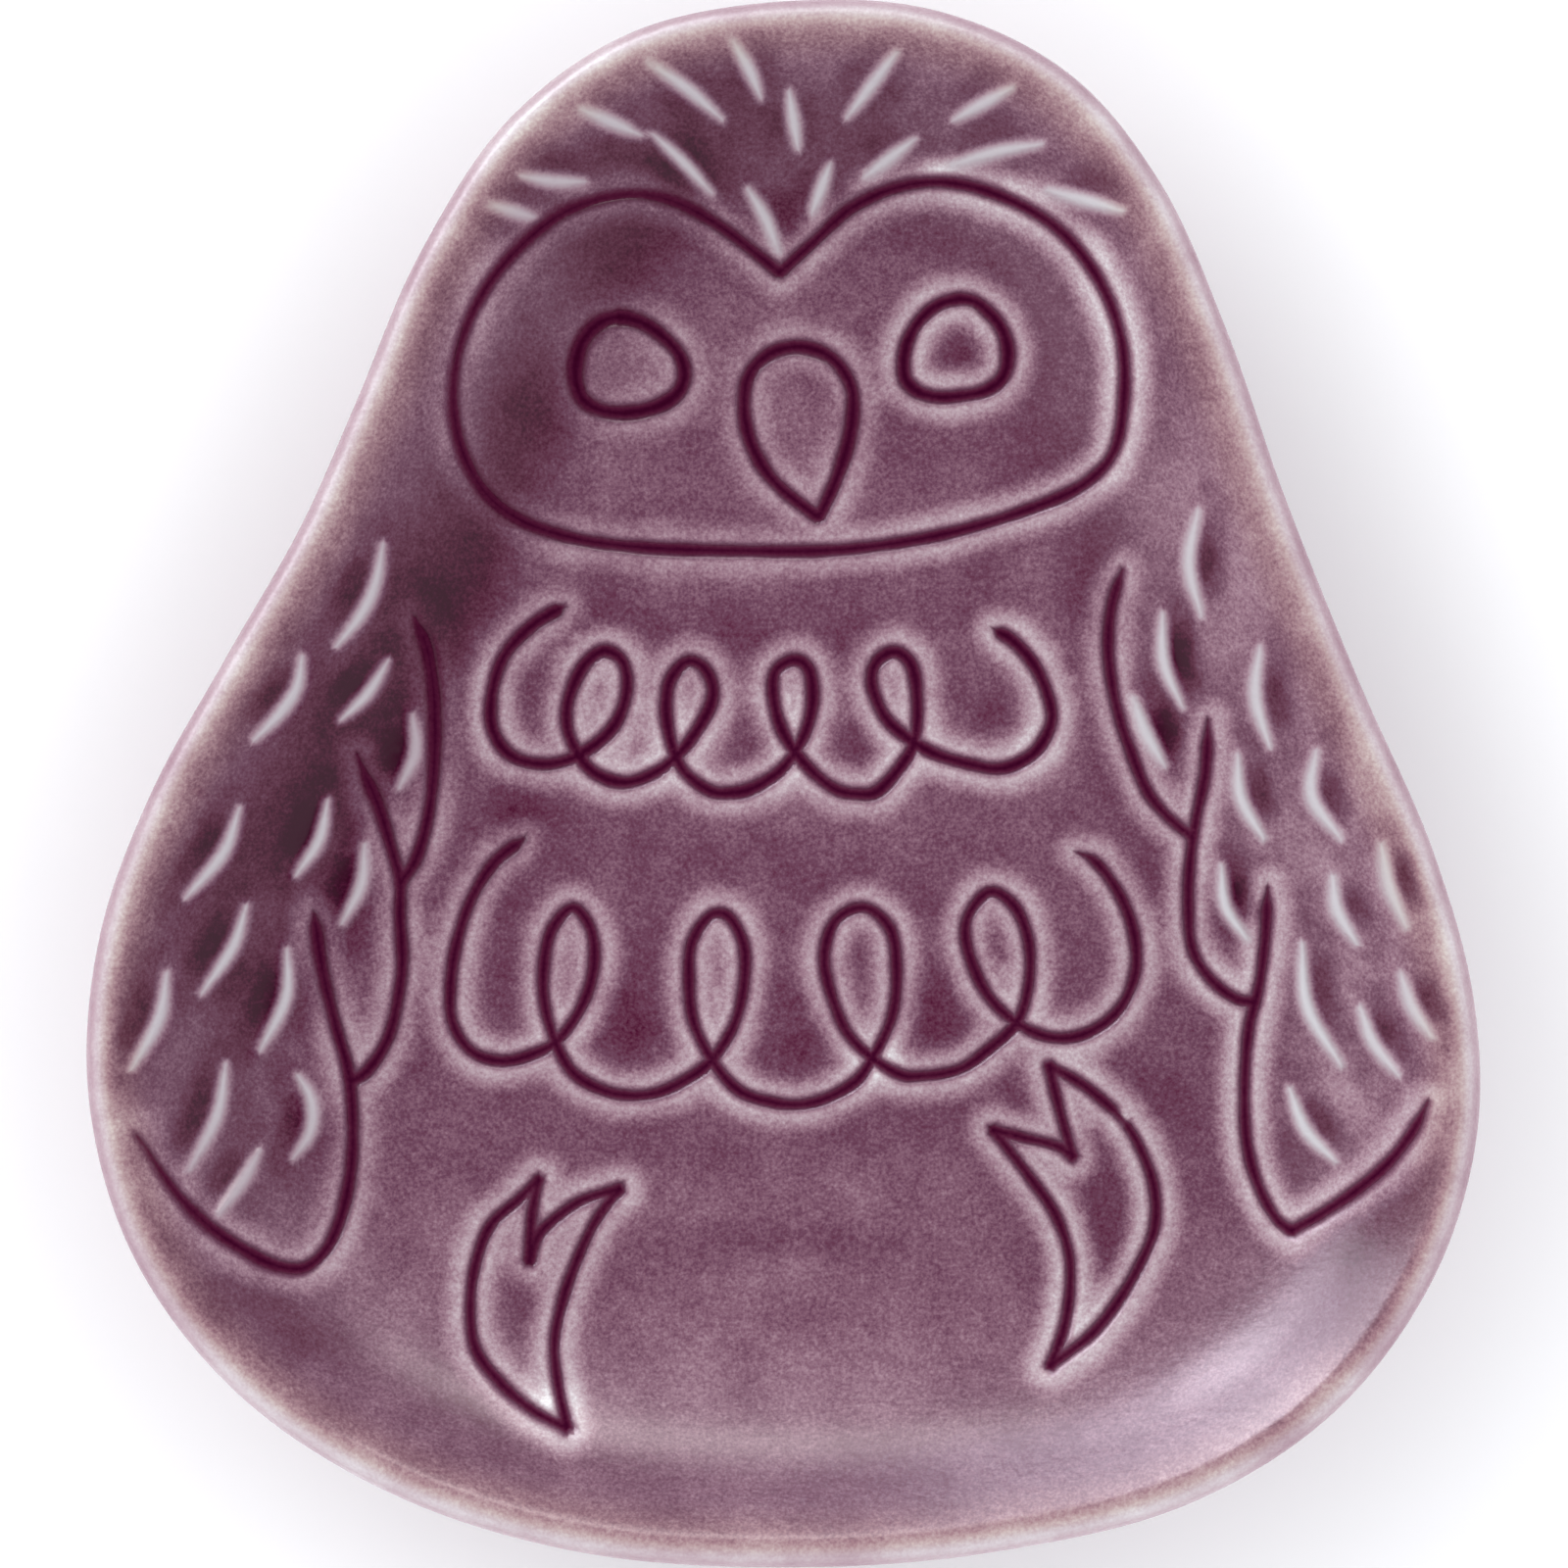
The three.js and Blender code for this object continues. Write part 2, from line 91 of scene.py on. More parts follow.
# Colour of the glaze by its thickness, from bare lips to deep pools, and of the clay by its tone.
GLAZE_RAMP = [
    (0.0, (226, 224, 224)), (0.08, (211, 206, 208)), (0.16, (198, 187, 191)), (0.26, (181, 161, 168)),
    (0.36, (165, 139, 149)), (0.46, (147, 114, 128)), (0.56, (124, 88, 105)), (0.66, (102, 64, 84)),
    (0.76, (90, 44, 66)), (0.86, (75, 21, 47)), (0.94, (58, 6, 35)), (1.0, (50, 2, 28)),
]
CLAY_RAMP = [(0.0, (188, 168, 146)), (0.5, (214, 198, 178)), (1.0, (228, 216, 200))]
WALL_TINT = (1.0, 0.97, 0.87)
RIDGE_TINT = (0.91, 0.985, 0.985)
COAT = 0.25

# [inset from the outline, height] down the wall of the well, then over the rim and along the underside.
WELL_PROFILE = [
    (0.0, 16.5), (0.3, 17.9), (0.9, 18.72), (1.7, 19.0), (2.6, 18.72), (3.4, 18.1), (4.5, 17.1),
    (6.0, 15.7), (8.0, 13.85), (11.0, 11.72), (14.5, 9.95), (18.5, 8.6), (23.0, 7.75), (27.0, 7.5),
    (60.0, 7.5),
]
UNDER_PROFILE = [
    (0.0, 16.5), (0.05, 15.7), (0.3, 14.7), (0.85, 13.75), (1.7, 12.85), (3.0, 11.85), (4.5, 10.9),
    (6.4, 9.6), (8.5, 8.2), (10.7, 6.95), (13.0, 5.9), (15.2, 4.9), (17.5, 4.1), (19.8, 3.45), (22.0, 3.0),
]
# [share of the outline's size about the middle, height] round the foot ring's section.
FOOT_SECTION = [
    (0.610, 3.0), (0.610, 0.9), (0.607, 0.35), (0.601, 0.0), (0.559, 0.0), (0.553, 0.35), (0.550, 0.9),
    (0.550, 3.0),
]

OUTLINE = [(3.2, 67.5), (14.5, 66.2), (24.9, 60.9), (32.5, 51.7), (38.2, 39), (43.2, 24.7), (49.5, 9),
    (56, -5.9), (59.5, -18.8), (59.7, -30.6), (56, -42.6), (47.6, -54), (35, -62), (18, -66.2), (0, -67.5),
    (-18, -66.1), (-34, -61), (-47.1, -52.4), (-56, -40.6), (-59.8, -27), (-58.9, -13.4), (-54.5, -1),
    (-48, 10.8), (-41.5, 22.2), (-36.7, 33), (-31.4, 45.4), (-23.5, 57.3), (-12.5, 64.9)]
FACE = [(-0.3, 44.5), (2.8, 47.3), (6, 50.1), (9.9, 51.8), (14.1, 52.2), (19.2, 50.8), (24, 47.8),
    (27.5, 43.2), (29.3, 38.1), (29.5, 33.1), (28.6, 28.6), (26.1, 26), (21.4, 23.9), (13.8, 21.7),
    (5.1, 20.4), (-3.6, 20.3), (-12.2, 20.6), (-18.3, 21.4), (-23, 23), (-25.8, 25.2), (-27.7, 28.6),
    (-28.5, 33), (-27.8, 38), (-25.2, 43.4), (-20.3, 48.5), (-16.9, 50.3), (-13, 51.1), (-9.6, 50.6),
    (-5.8, 48.7), (-2, 45.9), (-0.3, 44.5)]
LEFT_EYE = [(-14.3, 40.6), (-12, 40), (-10.2, 38.7), (-9, 37.3), (-8.6, 35.8), (-9, 34.3), (-10.3, 33.2),
    (-12.3, 32.5), (-14.4, 32.3), (-16.1, 32.6), (-17.4, 33.4), (-18, 34.9), (-18, 36.7), (-17.4, 38.5),
    (-16.2, 39.9)]
RIGHT_EYE = [(15.5, 42.2), (13.7, 41.8), (12.3, 40.8), (11.3, 39.5), (10.7, 38), (10.5, 36.5), (10.7, 35.2),
    (11.7, 34.2), (13.4, 33.7), (15.5, 33.8), (17.5, 34.2), (18.9, 35.1), (19.5, 36.4), (19.5, 38.2),
    (18.9, 39.8), (17.7, 41.2), (16.6, 42)]
BEAK = [(3.1, 23.2), (4.3, 25.7), (5.2, 28.1), (5.8, 30.3), (6.1, 32.5), (6, 34.4), (5.1, 36.2),
    (3.8, 37.4), (1.4, 38.1), (-0.7, 37.7), (-2.2, 36.7), (-3.1, 35.3), (-3.4, 33.4), (-3.2, 31.1),
    (-2.5, 29), (-1.4, 27.1), (0.1, 25.5), (1.6, 24.3), (3.1, 23.2)]
UPPER = [(-19.2, 15.4), (-21.7, 13.9), (-24.3, 11.1), (-25.4, 7.6), (-25.3, 4.7), (-23.8, 2.5),
    (-20.8, 1.7), (-17.8, 2.5), (-14.7, 5.1), (-13.6, 8.5), (-14.1, 10.8), (-15.6, 11.6), (-17.2, 10.5),
    (-18.6, 7.7), (-18.9, 5.8), (-18.6, 4.1), (-16.8, 1.2), (-13.9, 0.1), (-11.1, 1), (-9.2, 2.5),
    (-7.8, 4.2), (-6.2, 7.2), (-6.2, 8.8), (-7.1, 10.3), (-8.3, 10.7), (-9.8, 9.1), (-10.2, 7), (-9.9, 4.2),
    (-8.8, 1.3), (-6.2, -0.7), (-4.5, -0.8), (-2.9, -0.5), (-0.1, 1.3), (1.9, 4.4), (2.6, 7.6), (2.1, 10.2),
    (1, 10.8), (-0.6, 9.9), (-0.9, 8.3), (-0.1, 4.7), (2.2, 1.4), (4.8, -0.6), (6.4, -0.9), (8, -0.8),
    (10.4, 1.7), (11.4, 3.5), (11.7, 7.2), (11.1, 10.5), (9.8, 11.5), (8.3, 10.8), (7.7, 9.2), (8.6, 6.3),
    (9.7, 4.9), (13, 2.7), (16.7, 1.6), (18.5, 1.3), (20.1, 1.6), (22.2, 3), (23.4, 5.4), (23.3, 6.9),
    (22.1, 10), (20.1, 12.4), (18.5, 13.4)]
LOWER = [(-22.6, -4.8), (-25.1, -6.8), (-27.1, -9.9), (-28.4, -13.7), (-29, -17.6), (-28.8, -20.9),
    (-27.1, -23.4), (-24.4, -24.2), (-21.6, -23.5), (-19.8, -22.5), (-17.6, -19.5), (-16.5, -15.9),
    (-16.8, -12.6), (-18.3, -10.8), (-20.1, -12.6), (-20.9, -16.4), (-20.6, -20.2), (-18.5, -25),
    (-15.8, -26.7), (-13.3, -27.2), (-10.8, -26.9), (-7.8, -25.4), (-6.3, -24.2), (-4.3, -21.1),
    (-3.4, -17.3), (-3.5, -13.8), (-5, -11.4), (-6.2, -11.4), (-7.9, -13.7), (-8.2, -17), (-7.6, -21.4),
    (-4.1, -26.6), (-0.9, -27.8), (1.2, -28), (3.6, -27.5), (6.4, -25.9), (7.7, -24.1), (9.5, -20.3),
    (9.9, -16.4), (9.3, -12.6), (7.1, -10.8), (4.7, -11.8), (3.6, -14.9), (4.3, -18.7), (6.1, -22.4),
    (10.3, -25.4), (12, -25.5), (15.4, -24.9), (18, -23.1), (20.4, -20.8), (21.4, -17.6), (21.4, -13.7),
    (20.1, -10.6), (18.1, -9.4), (16.2, -11.4), (15.9, -13.4), (17.5, -17.9), (19.6, -20.3), (21.9, -21.7),
    (24, -22.2), (26.4, -21.8), (29.2, -19.8), (30.7, -16.5), (30.6, -13.1), (29.3, -9.6), (27.1, -6.7),
    (25.7, -6)]
LEFT_WING = [
    [(-31.9, 14.3), (-31, 12), (-30.4, 8.1), (-30.3, 5), (-30.4, 1.6), (-30.9, -2.7), (-32, -6.6),
     (-33.2, -8.5)],
    [(-37, 2.6), (-36.3, 0.7), (-35.3, -1.7), (-34.3, -5), (-33.4, -8.5), (-33.4, -11.6), (-33.2, -15.5),
     (-33.5, -18.3), (-34.5, -22.3), (-36.4, -25.2), (-37.5, -25.9)],
    [(-40.8, -11.3), (-40.2, -15.7), (-39, -21), (-37.9, -25), (-37.5, -29.4), (-37.6, -33.2),
     (-38.4, -37.5), (-39.8, -40.6), (-41.6, -42), (-44, -41.7), (-46.8, -40.2), (-49.3, -38.4),
     (-51.6, -36.1), (-53.5, -33.5), (-55.1, -30.9), (-55.8, -30)]]
RIGHT_WING = [
    [(29.5, 18.6), (28.6, 15.5), (28.3, 12), (28.6, 9), (29.3, 5.7), (30.4, 2.5), (31.8, -0.8),
     (33.4, -2.8), (35.5, -4.6)],
    [(36.9, 5.6), (36.7, 1), (35.9, -3.3), (35.5, -6.3), (35.3, -10), (35.7, -14.5), (37.4, -17.2),
     (39.6, -18.8), (40.8, -19)],
    [(42.1, -9), (41.9, -13.8), (41.4, -17.7), (40.6, -21.1), (40.2, -26), (40.4, -31.4), (41.4, -35.1),
     (43, -38), (44.1, -38.8)],
    [(44.1, -38.8), (46.5, -37.4), (49.6, -35.2), (52.3, -32.7), (54.4, -29.7), (55.5, -27.3)]]
LEFT_FOOT = [
    [(-18.7, -55.8), (-21.4, -54.5), (-24.3, -52.2), (-26.7, -49.1), (-27.2, -45.5), (-26.8, -41.9),
     (-25.5, -38.5), (-22.9, -36.1), (-21.3, -34.5)],
    [(-21.3, -34.5), (-21.9, -37.6), (-22.1, -41.6)],
    [(-22.1, -41.6), (-21.3, -39.3), (-20.2, -38.2), (-17.7, -36.4), (-14.2, -35.3)],
    [(-14.2, -35.3), (-16.2, -37.9), (-18, -41.6), (-19.3, -45.4), (-19.9, -48.8), (-19.5, -52.4),
     (-18.7, -55.8)]]
RIGHT_FOOT = [
    [(29.8, -29.5), (31, -31.5), (32.3, -35), (32.4, -38.5), (31.2, -41.6), (29.2, -45), (26.8, -47.9),
     (23.2, -50.6)],
    [(23.2, -50.6), (24.4, -47.5), (25, -44), (24.9, -40.9), (23.7, -37.5), (21.5, -34.3), (18.3, -30.2)],
    [(18.3, -30.2), (21.1, -30.9), (24.1, -31.7), (25.3, -32.6)],
    [(25.3, -32.6), (24.4, -29.5), (23.6, -26.4), (23.2, -24.6)],
    [(23.2, -24.6), (26.2, -26.3), (29, -28.6)]]
CROWN_STROKES = [
    [(-25.2, 49.7), (-21.4, 48.8)], [(-22.5, 52.2), (-19.8, 51.9), (-17.1, 52)],
    [(-17.3, 57.9), (-12.3, 56)], [(-11.5, 61.9), (-8.2, 59.8), (-5.2, 57.4)],
    [(-11.2, 56.1), (-8.6, 53.8), (-6.2, 51.3)], [(-4.3, 63.7), (-2.9, 61.4), (-1.9, 59.2)],
    [(0.5, 59.8), (1.3, 55)], [(-3.1, 51.7), (-1.5, 49.1), (-0.4, 46.3)], [(4.1, 53.8), (2.5, 49.6)],
    [(9.8, 62.9), (5.5, 57.6)], [(11.4, 55.8), (7.1, 52.7)], [(19.7, 59.8), (14.7, 57.3)],
    [(22.3, 55.1), (18.4, 54.6), (14.6, 53.6)], [(22.8, 51.3), (29.2, 49.2)]]
LEFT_STROKES = [
    [(-34.5, 20.7), (-35.2, 17.2), (-36.5, 14.5), (-38.6, 11.8)],
    [(-41.4, 11), (-41.9, 8.3), (-43.4, 6), (-45.6, 3.7)], [(-34.2, 10.7), (-36, 7.8), (-38.3, 5.5)],
    [(-32.2, 6), (-32, 2.8), (-33.4, -0.4)], [(-46.9, -2.1), (-48.2, -5.8), (-51.5, -9.9)],
    [(-39.5, -1.4), (-40.3, -4.9), (-42.3, -8)], [(-36.4, -5.3), (-36.7, -8.7), (-38.4, -12.2)],
    [(-46.5, -10.6), (-47.6, -14), (-50.3, -18.2)], [(-53.1, -16.3), (-53.7, -20.1), (-56, -24.6)],
    [(-43.1, -14.4), (-43.2, -18.5), (-45.4, -23.2)], [(-48.3, -24.3), (-49, -28.7), (-51.2, -33.3)],
    [(-42.2, -25.4), (-41.2, -27.1), (-40.9, -28.9), (-41.3, -30.7), (-42.6, -32.6)],
    [(-45.4, -31.8), (-46.8, -34.4), (-48.7, -37.1)]]
RIGHT_STROKES = [
    [(35.8, 23.6), (35.1, 19), (36.2, 14.5)], [(32.9, 14.8), (33.1, 10.4), (34.7, 6.6)],
    [(30.5, 7.4), (31.5, 4.6), (33.2, 1.5)], [(41.1, 11.7), (40.8, 7.5), (42.1, 3.1)],
    [(39.4, 2.5), (39.7, -1.2), (41.7, -4.8)], [(45.9, 2.8), (45.6, -1), (48.1, -4.8)],
    [(51.4, -5.2), (52.1, -8.8), (53.6, -12.4)], [(38.1, -7.1), (38.5, -10.7), (40.3, -13.5)],
    [(47.5, -8), (47.9, -10.9), (49.6, -13.9)], [(45, -13.8), (45.5, -19.3), (48.4, -24.5)],
    [(49.9, -19.3), (51, -22.4), (53.1, -25.2)], [(53.2, -16.4), (54.1, -19.2), (55.8, -21.9)],
    [(44, -26.5), (45.4, -30.1), (47.9, -32.8)]]

# Pressed lines: half-width, strokes, and whether the first stroke closes on itself.
LINES = {
    "face_line": (0.5, [FACE], False),
    "left_eye": (0.62, [LEFT_EYE], True),
    "right_eye": (0.58, [RIGHT_EYE], True),
    "beak": (0.58, [BEAK], False),
    "upper_scallop": (0.54, [UPPER], False),
    "lower_scallop": (0.48, [LOWER], False),
    "left_wing": (0.5, LEFT_WING, False),
    "right_wing": (0.46, RIGHT_WING, False),
    "left_foot": (0.45, LEFT_FOOT, False),
    "right_foot": (0.45, RIGHT_FOOT, False),
}
# Ends of lines that fade out: (line, stroke number): length faded at its start, length at its end.
FADES = {
    ("upper_scallop", 0): (0.6, 0.6), ("lower_scallop", 0): (1.2, 2.2), ("left_wing", 0): (2.0, 0.0),
    ("left_wing", 1): (3.5, 0.0), ("left_wing", 2): (1.5, 11.0), ("right_wing", 0): (1.6, 0.0),
    ("right_wing", 1): (2.6, 0.0), ("right_wing", 2): (2.2, 0.0), ("right_wing", 3): (0.0, 2.6),
}

# Where the glaze lies thicker (+) or thinner (-), some of it painted shade: x, y, half-width, half-height,
# amount.
GLAZE_AND_SHADE_PATCHES = [
    # head
    (-23.5, 31, 6, 8.5, 0.2), (-26, 38, 1.5, 7, -0.12), (-20.5, 33, 4, 5, 0.1), (-16, 41, 3, 4, 0.08),
    (-33, 40, 2.5, 8, -0.05), (-25, 54, 5, 4, -0.14), (-11, 63, 13, 3, -0.09), (9, 65, 8, 2.5, -0.05),
    (-46, 5, 4, 6, -0.08), (-4, 60, 4, 4, 0.12), (-9, 52, 4, 2, 0.06), (5.5, 50, 2, 3, 0.08),
    (-16, 57, 6, 2, -0.1), (6, 31, 2, 4, 0.1), (-3, 37, 2, 3, 0.06), (-8, 52, 3, 4, 0.08),
    (0, 48, 3, 3, 0.08), (7, 50, 4, 3, 0.08), (14, 48, 3, 2.5, 0.1), (-14, 46.5, 9, 4, 0.18),
    (-21, 46, 3, 5, -0.05), (8, 44, 4, 5, -0.03), (23, 31, 5, 8, 0.12), (13, 27.5, 8, 3.5, 0.03),
    (0, 32, 3, 3, -0.06), (6, 26, 9, 3, -0.06), (13.5, 53.4, 1.4, 0.6, -0.2), (-12, 37, 5, 4.5, -0.16),
    (-9, 45, 3, 2.5, -0.08), (-17, 28, 5, 4, -0.1), (-24, 40, 3, 6, -0.06), (17, 29, 5, 5, -0.05),
    (15.2, 37.2, 2, 1.9, 0.1), (1.4, 32, 2.2, 3, 0.05), (-12, 53, 9, 4, 0.2), (6, 58, 5, 4.5, 0.1),
    (-14, 58.5, 8, 4, 0.03), (22, 57, 7, 3.5, -0.1), (20, 51, 6, 3, -0.18), (-22, 50.5, 5, 4, 0.08),
    (-30, 43, 2, 6, 0.05), (-26, 25, 4, 4, 0.16), (-26.5, 18, 2.5, 5, 0.2), (-19, 20, 3, 2, -0.1),
    (16, 55, 6, 2, 0.08), (27, 52, 3, 3, 0.1), (27, 45, 1.5, 4, -0.08),
    # shoulders
    (-31, 16, 4, 7, 0.32), (-32.5, 9, 5, 7, 0.16), (-40, 16, 4, 6, -0.02), (28, 17, 3, 6, 0.18),
    (27, 10, 2.5, 4, 0.04), (38, 26, 4, 12, -0.06), (34, 42, 3, 8, -0.01), (41, 31, 3, 9, 0.08),
    (46, -6, 10, 26, -0.05), (57, -16, 3, 5, -0.06), (47, 9, 3, 6, 0.12), (57.5, -8, 2, 4, 0.12),
    (56, -29, 2, 2, 0.1), (53, -22, 3, 4, -0.06), (58, -36, 2, 3, -0.1), (-17, 16, 5, 2.5, 0.08),
    (-30, 11, 2, 5, 0.12), (32, 26, 4, 6, -0.08), (-40, 9, 4, 3, 0.08), (-8, 13, 4, 3, 0.06),
    (-12, -5, 5, 3, 0.05), (-2, 17.3, 14, 1.8, -0.06),
    # left wing, its wall darkened here as painted shade where it faces away from the key light
    (-36.5, 2, 3.5, 5, 0.24), (-42, -2, 5, 8, 0.17), (-41, -16.5, 3, 6.5, 0.2), (-26.5, 8, 1.7, 8, -0.12),
    (-31, -4, 2, 2, -0.1), (-47, -6, 4, 5, 0.16), (-47.5, -18, 3, 5, 0.2), (-40, -18, 3, 4, 0.06),
    (-41, -48, 5, 2.5, 0.14), (-51, -11, 2, 3, 0.03), (-51.5, -11, 4, 6, 0.1), (-55.5, -20, 2.5, 6, 0.12),
    (-48, -28, 5, 5, 0.1), (-38, -11, 3, 4, 0.1), (-39, -31, 2.5, 5, 0.12), (-42.5, -34, 2, 3, 0.1),
    (-46, -44, 7, 3, 0.14), (-48, -52, 6, 4, -0.08), (-50, -34, 3, 3, -0.1), (-51, -37, 5, 4, 0.1),
    (-44, 4, 5, 5, 0.06), (-34, -46, 5, 5, -0.12), (-37, -42, 4, 4, -0.1), (-34, -41, 3, 3, 0.08),
    (-28, -57, 6, 3, -0.08), (39, -45, 5, 5, -0.08), (48, -43, 3, 3, 0.08), (-26, -20, 2, 9, -0.06),
    # breast
    (-21.5, 6.5, 2.2, 3.6, 0.08), (-2, 3.9, 2, 2.2, 0.12), (6.2, 3.9, 2, 2.4, 0.12), (16, 8, 4, 4, 0.05),
    (20, 3, 5, 3, -0.06), (0, -6.5, 14, 3, 0.05), (12, 3, 3, 3, -0.12), (23, 4, 4, 5, -0.13),
    (18.5, 6, 1.6, 1.8, 0.16), (17, 12, 8, 2, -0.06), (0.5, 3, 2, 4, -0.2), (-9.5, 3.5, 2, 3.5, -0.16),
    (20, -12, 3, 3, -0.08), (32, -8, 2, 4, 0.08), (-17, 2, 4, 3, -0.04), (-9, 8, 4, 4, 0.05),
    (10, -6, 8, 3, -0.06), (-23, -3.5, 4, 3.5, 0.2), (-25, -9, 3, 3, 0.1), (29, -3, 3, 8, 0.04),
    (-24.5, -17.5, 2.2, 5.5, 0.12), (-19, -13, 3, 5, 0.08), (-9, -17, 3, 6, 0.03),
    (-2.3, -18, 1.5, 4, 0.08), (-11, -28, 4, 3, 0.08), (26, -17, 2, 3, 0.06), (-13.3, -21, 3, 4.5, 0.16),
    (1.2, -21.5, 3.4, 4.5, 0.14), (12.8, -20.8, 2.8, 4, 0.16), (25.7, -12, 4, 6, -0.05),
    (8, -24, 2, 2, -0.3), (20, -19, 3, 3, -0.12), (25, -24, 3, 2, -0.08), (2, -19, 3, 3, -0.06),
    (18.7, -14.5, 1.4, 3, 0.08),
    # belly and feet, and last touches all over; patches at the lower right and bottom are painted shade that
    # dulls the lamps' highlight
    (4, -36, 10, 3.5, -0.06), (8, -45, 13, 8, -0.07), (-22.9, -44, 1.6, 5, 0.12),
    (28.3, -37, 2.2, 6.5, 0.14), (26, -32, 2, 3, 0.1), (28, -42, 3, 2, 0.06), (30, -35, 3, 4, -0.08),
    (25, -48, 4, 4, -0.08), (20, -28, 3, 2.5, 0.06), (33.5, -27, 3, 3, 0.06), (0, -52, 24, 8, -0.06),
    (0, -40, 9, 1.3, 0.07), (-12, -32, 5, 2.2, 0.06), (0, -50, 10, 3, -0.05), (22, -43, 2, 4, 0.06),
    (-24, 24, 2.6, 2.6, 0.1), (-32, -22, 2.4, 5, 0.08), (-27, -54, 4, 2, 0.1), (8, -23.5, 3, 2.5, -0.07),
    (16, -39, 3, 3, -0.07), (-29, -40, 5, 3, -0.07), (0, -55, 11, 2, -0.07), (40, -46, 5, 3, 0.07),
    (50, -39, 3, 3, 0.08), (48, -29, 3.5, 4, -0.08), (-17, 56, 4, 2, -0.08), (45, 20, 2.5, 9, 0.09),
    (53, 2, 2, 5, 0.07), (58.5, -12, 1.6, 4, 0.07), (27, 59.5, 3, 2, 0.08), (2, -66.5, 14, 1.8, 0.1),
    (-20, -23, 5, 3, -0.05), (-19, -54, 2, 2, -0.1), (8, -62, 13, 4, 0.05), (43, -56, 4, 3, 0.12),
    (50, -47, 3, 4, 0.08), (0, -66.5, 20, 1.6, -0.03), (-20, -54, 1.6, 1.6, -0.15), (-28, -58, 8, 3, 0.14),
    # right wing
    (34.4, 12, 1.3, 3.5, 0.26), (36.5, 19, 1.2, 3.5, 0.14), (33.5, 4.5, 1.2, 3, 0.14),
    (37.5, 2, 2, 5, 0.08), (38.8, -10, 1.4, 3, 0.2), (42, 7, 1.6, 4, 0.08), (41.5, -1, 1.2, 3, 0.06),
    (42, -11, 2, 5, 0.12), (47.3, -1, 1.2, 3, 0.14), (46.7, -18.5, 1.4, 5, 0.08),
    (49, -10.5, 1.0, 2.5, 0.12), (46.5, -28.5, 2.2, 3, 0.08), (53, -8, 1, 3, 0.14),
    (55, -18.5, 1, 2.8, 0.14), (51.5, -21, 1, 3, 0.12), (53.5, -35, 5, 4, 0.16), (50, -40, 5, 4, 0.14),
    (52, -47, 4, 5, 0.08), (36, -12, 2, 4, 0.04), (44, 9, 6, 9, -0.1), (50, -8, 4, 12, -0.07),
    (48, -19, 3, 4, -0.14), (47.5, -27, 2.5, 3, -0.08), (43, -4, 2.5, 3, -0.12), (44, -33, 2.5, 3, 0.1),
    (48, -9, 3, 4, -0.08), (37, 16, 4, 7, -0.1), (48, 0, 3, 5, -0.06), (47, -27, 4, 4, -0.06),
]
# Where the glaze draws back from the lips of the lines more (+) or less (-) than elsewhere, in the same way.
LIPS = [
    (-22, 36, 12, 15, -0.7), (-10, 40, 8, 9, -0.35), (2, 32, 8, 8, -0.5), (-12, 21, 13, 4, -0.3),
    (15.2, 37.5, 6, 6, 0.4), (29, 38, 5, 13, 0.5), (16, 23, 14, 4, 0.1), (-31, 4, 4, 12, -0.5),
    (-34, -15, 5, 14, -0.25), (-44, -36, 12, 8, -0.4), (42, -20, 9, 24, 0.35), (31, 5, 4, 10, 0.1),
    (27, -38, 7, 12, 0.3), (-22, -44, 7, 9, -0.1), (-20.5, -54, 2.5, 2.5, 0.4),
    (-55.5, -32, 3.5, 3.5, -0.9), (0, -24, 30, 8, 0.1),
]
# Where the pressed lines are narrower, in the same way. The first is a thread of glaze across the line of
# the right foot.
THINNER = [
    (29.6, -28.95, 0.42, 0.42, 1.7), (-29.5, 40, 4, 10, 0.2), (-16, 51, 9, 3, 0.14), (0, 33, 5, 7, 0.05),
    (28, 45, 5, 9, 0.04),
]
# Thickness lost over the rim and down the wall: [inset from the outline, amount].
RIM_GLAZE = [
    (0.0, 0.26), (0.5, 0.27), (0.8, 0.36), (1.1, 0.41), (1.4, 0.4), (1.7, 0.365), (2.1, 0.27),
    (2.5, 0.185), (2.8, 0.135), (3.25, 0.1), (3.75, 0.08), (4.5, 0.045), (6.5, 0.01), (9.0, 0.0),
    (60.0, 0.0),
]


# ---- curves and fields ----------------------------------------------------------------------------------

def spline(points, step, closed=False):
    """Centripetal Catmull-Rom curve through the points, resampled every step along its length.

    Between two points it is the cubic with those ends and the tangents m1 and m2, which weigh the slopes to
    the neighbours by the square roots of their distances.
    """
    p = np.array(points, float)
    if closed:
        ring = np.vstack([p[-1:], p, p[:2]])
    else:
        ring = np.vstack([2 * p[:1] - p[1:2], p, 2 * p[-1:] - p[-2:-1]])
    p0, p1, p2, p3 = ring[:-3], ring[1:-2], ring[2:-1], ring[3:]
    d0, d1, d2 = (np.sqrt(np.hypot(*(b - a).T))[:, None] for a, b in ((p0, p1), (p1, p2), (p2, p3)))
    m1 = ((p1 - p0) / d0 - (p2 - p0) / (d0 + d1) + (p2 - p1) / d1) * d1
    m2 = ((p2 - p1) / d1 - (p3 - p1) / (d1 + d2) + (p3 - p2) / d2) * d1
    t = np.linspace(0, 1, SPLINE_PARTS, endpoint=False)[None, :, None]
    a, b = p1[:, None], m1[:, None]
    c, d = (3 * (p2 - p1) - 2 * m1 - m2)[:, None], (2 * (p1 - p2) + m1 + m2)[:, None]
    fine = (a + b * t + c * t ** 2 + d * t ** 3).reshape(-1, 2)
    fine = np.vstack([fine, p[:1] if closed else p[-1:]])
    run = np.concatenate([[0], np.cumsum(np.hypot(*np.diff(fine, axis=0).T))])
    count = max(3, int(round(run[-1] / step)))
    at = np.linspace(0, run[-1], count + 1)
    out = np.stack([np.interp(at, run, fine[:, 0]), np.interp(at, run, fine[:, 1])], 1)
    return out[:-1] if closed else out


